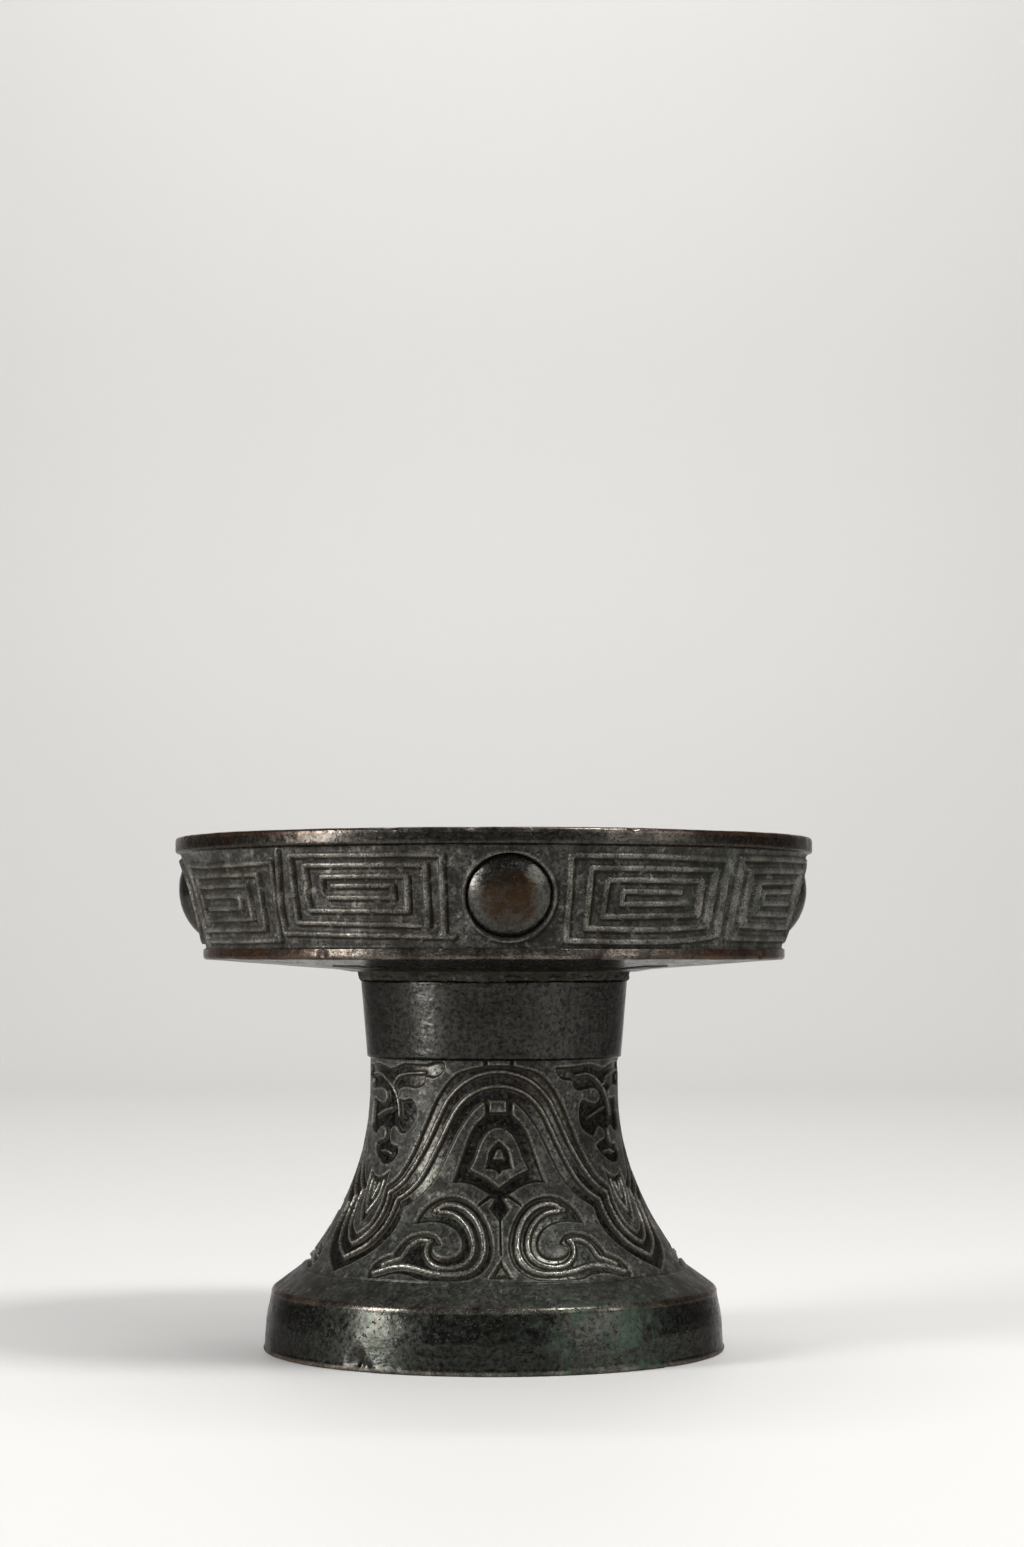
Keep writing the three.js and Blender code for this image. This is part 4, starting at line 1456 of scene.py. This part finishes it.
def near_strokes(i, kind):
    """The spirals (kind 0) or ridges (kind 1) of a quarter and of the next one each way."""
    near = ((DISH_QUARTERS[i - 1], -90), (DISH_QUARTERS[i], 0), (DISH_QUARTERS[(i + 1) % 4], 90))
    return [moved(stroke, degrees) for quarter, degrees in near for stroke in quarter[kind]]


class VESSEL_OT_dish(bpy.types.Operator):
    """Casts the shallow dish with its spirals and rim bead, in four quarters"""

    bl_idname = "vessel.dish"
    bl_label = "Dish"

    COLUMNS = 480
    SOFT_EDGE = 0.32 * MM
    MOAT_COVE = 0.5 * MM

    def execute(self, context):
        sizes = context.scene.vessel_dish
        ornament = context.scene.vessel_ornament
        profile = dish_profile(sizes, ornament)
        dents = dents_object("rim_dents", RIM_DENTS)
        drawings = [
            dish_drawing(profile, sizes, ornament, context.scene.vessel_boss,
                         near_strokes(i, 0), near_strokes(i, 1))
            for i in range(len(DISH_QUARTERS))
        ]
        quarter = math.tau / 4
        made = sectors(
            "dish", profile, drawings, dents,
            halves=[quarter / 2] * 4,
            middles=[sizes.turned_by + quarter * i for i in range(4)],
            inputs={
                "Columns": self.COLUMNS,
                "Ground Depth": context.scene.vessel_boss.moat_depth,
                "Cove": self.MOAT_COVE,
                "Groove": ornament.groove,
                "Soft Edge": self.SOFT_EDGE,
                "Seed": 8.0,
                "Bronze": bronze_coat("dish_patina"),
            },
        )
        discard(*drawings, dents)
        for sector in made:
            settle(sector, "dish_bronze", "dish")
        return {"FINISHED"}


def plain_turning(name, profile, sweep=math.tau, columns=96):
    """A mesh turned from a profile with no drawing and no dents."""
    piece = grown(name, profile.mesh(name), turned_casting_tree(), {
        "Sweep": sweep, "Stretch": 1.0, "Columns": columns, "Cove": MM, "Soft Edge": MM,
    })
    if sweep < math.tau:
        close_ends(piece.data)
    mesh = piece.data
    bpy.data.objects.remove(piece)
    return mesh


class VESSEL_OT_bosses(bpy.types.Operator):
    """Sets the domed bosses in their seats round the wall"""

    bl_idname = "vessel.bosses"
    bl_label = "Bosses"

    STEPS = 35
    CROWN_BEGINS = 0.26
    CROWN_FADE = 0.16

    def profile(self, boss):
        """A dome on a short seat, where height 0 is the wall's surface and up is out of the wall."""
        rise = boss.dome + boss.edge
        bend = (boss.radius ** 2 + rise ** 2) / (2 * rise)
        edge_angle = math.asin(boss.radius / bend)
        profile = Profile()
        profile.along([(0, -boss.seat)], EDGE_ROWS)
        profile.along([(boss.radius - 0.2 * MM, -boss.seat)], HIDDEN_ROWS)
        profile.along([(boss.radius, -boss.edge - 0.3 * MM)], 0.5 * MM)
        for step in range(self.STEPS + 1):
            inward = step / self.STEPS
            angle = edge_angle * (1 - inward)
            point = (bend * math.sin(angle), boss.dome - bend * (1 - math.cos(angle)))
            crown = min(1.0, max(0.0, (inward - self.CROWN_BEGINS) / self.CROWN_FADE))
            profile.along([point], 1 * MM, worn=crown, plain=1)
        return profile

    def execute(self, context):
        dish = context.scene.vessel_dish
        mesh = plain_turning("boss", self.profile(context.scene.vessel_boss))
        radius, height, lean = wall_middle(dish)
        tilt = Matrix.Rotation(math.pi / 2 + lean, 4, "X")
        mesh.transform(Matrix.Translation((0, -radius, height)) @ tilt)
        piece = grown("bosses", mesh, ring_of_pieces_tree(), {
            "Count": dish.bosses,
            "First": dish.turned_by,
            "Unevenness": 0.12 * MM,
            "Lumps": 260.0,
            "Seed": 5.0,
            "Bronze": bronze_coat("boss_patina", crown=True),
        })
        settle(piece, "boss_bronze", *(f"boss_{i + 1}" for i in range(dish.bosses)))
        return {"FINISHED"}


class VESSEL_OT_joint(bpy.types.Operator):
    """Runs the rough joint metal in between the two castings"""

    bl_idname = "vessel.joint"
    bl_label = "Joint metal"

    # The ring's skirt fills the gap inside the stem, and its bead shows over the stem's head
    SKIRT_OVER_HEAD = 0.3 * MM
    TOP_OVER_NODE = 0.6 * MM
    SKIRT_INSIDE = 4.8 * MM
    SKIRT_WALL = 1.3 * MM
    BEAD_INSIDE = 1.2 * MM
    TOP_INSIDE = 0.7 * MM
    COLUMNS = 700

    # How far inside the ring's outer edge, and how far over the stem's head, the bead's points lie
    BEAD = ((1.5 * MM, -0.7 * MM), (1.1 * MM, -0.2 * MM), (0.8 * MM, 0.6 * MM))

    def profile(self, head):
        low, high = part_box("joint_ring")
        outside = high.x
        top = high.z + self.TOP_OVER_NODE
        skirt = outside - self.SKIRT_INSIDE
        skirt_top = head + self.SKIRT_OVER_HEAD
        start = (skirt - self.SKIRT_WALL, low.z)
        bead = [(outside - inside, head + over) for inside, over in self.BEAD]
        profile = Profile()
        profile.along([start, (skirt, low.z), (skirt, skirt_top)], 2 * MM, loose=0)
        profile.along([(outside - self.BEAD_INSIDE, skirt_top)], 1 * MM, loose=0)
        profile.along([*bead, (outside - self.TOP_INSIDE, top)], 0.25 * MM)
        profile.along([(start[0], top), start], 2 * MM, loose=0)
        return profile

    def execute(self, context):
        profile = self.profile(context.scene.vessel_pedestal.stem_height)
        mesh = plain_turning("joint", profile, columns=self.COLUMNS)
        piece = grown("joint_metal", mesh, ring_of_pieces_tree(), {
            "Count": 1,
            "Unevenness": 3.0 * MM,
            "Lumps": 300.0,
            "Seed": 6.0,
            "Bronze": bronze_coat("joint_crust", crust=0.85),
        })
        settle(piece, "joint_metal", "joint_ring")
        return {"FINISHED"}


class VESSEL_OT_spacers(bpy.types.Operator):
    """Sets the bronze spacers that were caught in the floor and in the stem"""

    bl_idname = "vessel.spacers"
    bl_label = "Spacers"

    # Sizes of the square spacers in the dish's floor, and of those in the stem's collar
    FLOOR_SIDE = 9 * MM
    FLOOR_PROUD = 0.12 * MM
    FLOOR_RADIUS = 52 * MM
    FLOOR_LIFT = 1.15 * MM
    FLOOR_BEVEL = 0.35 * MM
    SLOPE_RUN = 39 * MM
    FLOOR_TURN = math.radians(45)
    STEM_TURN = math.radians(14)
    STEM_WIDTH = 5 * MM
    STEM_PROUD = 0.02 * MM
    STEM_SUNK = 0.2 * MM

    def floor_block(self, dish):
        """A block through the sloping floor, in front of the axis."""
        _, _, _, underside = dish_heights(dish)
        thick = dish.floor_thick + 2 * self.FLOOR_PROUD
        slope = math.atan(dish.under_rise / self.SLOPE_RUN)
        middle = underside + dish.floor_thick / 2 + self.FLOOR_LIFT
        place = Matrix.Translation((0, -self.FLOOR_RADIUS, middle)) @ Matrix.Rotation(-slope, 4, "X")
        block = bmesh.new()
        bmesh.ops.create_cube(block, size=1)
        bmesh.ops.scale(block, verts=block.verts, vec=(self.FLOOR_SIDE, self.FLOOR_SIDE, thick))
        bmesh.ops.bevel(block, geom=block.edges, offset=self.FLOOR_BEVEL, segments=2, profile=0.5,
                        affect="EDGES")
        bmesh.ops.subdivide_edges(block, edges=block.edges, cuts=3, use_grid_fill=True)
        bmesh.ops.transform(block, matrix=place, verts=block.verts)
        mesh = bpy.data.meshes.new("floor_spacer")
        block.to_mesh(mesh)
        block.free()
        return mesh

    def stem_block(self, pedestal):
        """A block through the collar's wall, in front of the axis."""
        low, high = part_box("stem_spacer_1")
        collar = pedestal.waist_radius + pedestal.collar_step
        lift = pedestal.collar_spread / (pedestal.stem_height - pedestal.collar_bottom)
        back = collar - pedestal.stem_wall + self.STEM_SUNK
        start = (back, low.z)
        corners = [
            (collar + (height - pedestal.collar_bottom) * lift + self.STEM_PROUD, height)
            for height in (low.z, high.z)
        ]
        profile = Profile()
        profile.along([start, *corners, (back, high.z), start], 1 * MM)
        return plain_turning("stem_spacer", profile, sweep=self.STEM_WIDTH / collar, columns=8)

    def execute(self, context):
        dish = context.scene.vessel_dish
        pedestal = context.scene.vessel_pedestal
        coat = bronze_coat("spacer_patina")
        tree = ring_of_pieces_tree()
        floor_first = dish.turned_by + self.FLOOR_TURN
        stem_first = pedestal.turned_by + self.STEM_TURN
        rings = (
            ("floor_spacer", self.floor_block(dish), 4, floor_first, 0.08, 7.0),
            ("stem_spacer", self.stem_block(pedestal), 3, stem_first, 0.05, 9.0),
        )
        for name, mesh, count, first, unevenness, seed in rings:
            piece = grown(f"{name}s", mesh, tree, {
                "Count": count,
                "First": first,
                "Unevenness": unevenness * MM,
                "Lumps": 500.0,
                "Seed": seed,
                "Bronze": coat,
            })
            settle(piece, "spacer_bronze", *(f"{name}_{i + 1}" for i in range(count)))
        return {"FINISHED"}


def lamp(name, watts, place, target, size):
    light = bpy.data.lights.new(name, "AREA")
    light.energy = watts
    light.shape = "RECTANGLE"
    light.size, light.size_y = size
    made = bpy.data.objects.new(name, light)
    made.location = place
    made.rotation_euler = (Vector(target) - Vector(place)).to_track_quat("-Z", "Y").to_euler()
    made.visible_camera = False
    bpy.context.scene.collection.objects.link(made)


class VESSEL_OT_stage(bpy.types.Operator):
    """Lays the pale floor and backdrop, sets the lamps and aims the camera"""

    bl_idname = "vessel.stage"
    bl_label = "Stage"

    FRAME_ROWS = 1547
    FRAME_HEIGHT = 36.0

    # The floor reaches from front to back, bends up with a radius and ends at the backdrop's top
    HALF_WIDTH = 3.0
    FRONT = -2.5
    BACK = 1.6
    BEND = 0.7
    BEND_STEPS = 16
    TOP = 2.6
    PAPER_ROUGHNESS = 0.55

    TARGET = (0, 0, 0.075)
    BACKDROP_TARGET = (0, 2.2, 0.5)

    # Name, setting for its watts, place, target, and width and height
    LAMPS = (
        ("left_softbox", "left_lamp", (-1.12, -0.60, 0.42), TARGET, (0.34, 0.90)),
        ("right_softbox", "right_lamp", (1.02, -0.72, 0.42), TARGET, (0.8, 0.7)),
        ("top_softbox", "top_lamp", (0.10, 0.15, 1.30), TARGET, (1.1, 0.9)),
        ("high_softbox", "high_lamp", (0.55, -0.38, 1.07), TARGET, (0.30, 0.30)),
        ("backdrop_softbox", "back_lamp", (0, 0.9, 1.9), BACKDROP_TARGET, (1.6, 0.5)),
    )

    def execute(self, context):
        settings = context.scene.vessel_stage
        self.floor(settings)
        self.lamps(context, settings)
        self.camera(context, settings)
        return {"FINISHED"}

    def floor(self, settings):
        """A sheet that runs level under the vessel and curves up behind it."""
        shape = bmesh.new()
        rows = [(self.FRONT, 0.0), (self.BACK, 0.0)]
        for step in range(1, self.BEND_STEPS + 1):
            angle = math.pi / 2 * step / self.BEND_STEPS
            rows.append((self.BACK + self.BEND * math.sin(angle), self.BEND * (1 - math.cos(angle))))
        rows.append((self.BACK + self.BEND, self.TOP))
        sides = (-self.HALF_WIDTH, self.HALF_WIDTH)
        edges = [[shape.verts.new((x, y, z)) for x in sides] for y, z in rows]
        for low, high in zip(edges, edges[1:]):
            shape.faces.new((low[0], low[1], high[1], high[0])).smooth = True
        mesh = bpy.data.meshes.new("floor")
        shape.to_mesh(mesh)
        shape.free()
        sheet = bpy.data.objects.new("floor", mesh)
        bpy.context.scene.collection.objects.link(sheet)
        paper = bpy.data.materials.new("pale_floor")
        paper.use_nodes = True
        surface = paper.node_tree.nodes["Principled BSDF"]
        surface.inputs["Base Color"].default_value = (*settings.floor, 1)
        surface.inputs["Roughness"].default_value = self.PAPER_ROUGHNESS
        sheet.data.materials.append(paper)

    def lamps(self, context, settings):
        for name, setting, place, target, size in self.LAMPS:
            lamp(name, getattr(settings, setting), place, target, size)
        world = bpy.data.worlds.new("studio")
        world.use_nodes = True
        background = world.node_tree.nodes["Background"]
        background.inputs["Color"].default_value = (1, 1, 1, 1)
        background.inputs["Strength"].default_value = settings.room_light
        context.scene.world = world
        context.scene.view_settings.view_transform = "Standard"

    def camera(self, context, settings):
        camera = bpy.data.cameras.new("camera")
        camera.sensor_fit = "VERTICAL"
        camera.sensor_height = self.FRAME_HEIGHT
        camera.lens = settings.lens
        camera.shift_y = (settings.horizon_row - self.FRAME_ROWS / 2) / self.FRAME_ROWS
        viewer = bpy.data.objects.new("camera", camera)
        viewer.location = (settings.camera_aside, -settings.camera_distance, settings.eye_height)
        viewer.rotation_euler = (math.pi / 2, 0, 0)
        context.scene.collection.objects.link(viewer)
        context.scene.camera = viewer


OPERATORS = (
    VESSEL_OT_pedestal,
    VESSEL_OT_dish,
    VESSEL_OT_bosses,
    VESSEL_OT_joint,
    VESSEL_OT_spacers,
    VESSEL_OT_stage,
)


class VESSEL_PT_panel(bpy.types.Panel):
    """Lists the steps that build the vessel, and its settings."""

    bl_label = "Bronze food vessel"
    bl_idname = "VESSEL_PT_panel"
    bl_space_type = "VIEW_3D"
    bl_region_type = "UI"
    bl_category = "Vessel"

    def draw(self, context):
        for operator in OPERATORS:
            self.layout.operator(operator.bl_idname)
        for name in SETTINGS:
            box = self.layout.box()
            settings = getattr(context.scene, name)
            for prop in settings.bl_rna.properties:
                if prop.identifier not in ("rna_type", "name"):
                    box.prop(settings, prop.identifier)


def register():
    for group in SETTINGS.values():
        bpy.utils.register_class(group)
    for name, group in SETTINGS.items():
        setattr(bpy.types.Scene, name, bpy.props.PointerProperty(type=group))
    for cls in (*OPERATORS, VESSEL_PT_panel):
        bpy.utils.register_class(cls)


def unregister():
    for cls in reversed((*OPERATORS, VESSEL_PT_panel)):
        bpy.utils.unregister_class(cls)
    for name in SETTINGS:
        delattr(bpy.types.Scene, name)
    for group in SETTINGS.values():
        bpy.utils.unregister_class(group)


def main():
    register()
    bpy.ops.vessel.pedestal()
    bpy.ops.vessel.dish()
    bpy.ops.vessel.bosses()
    bpy.ops.vessel.joint()
    bpy.ops.vessel.spacers()
    bpy.ops.vessel.stage()


if __name__ == "__main__":
    main()
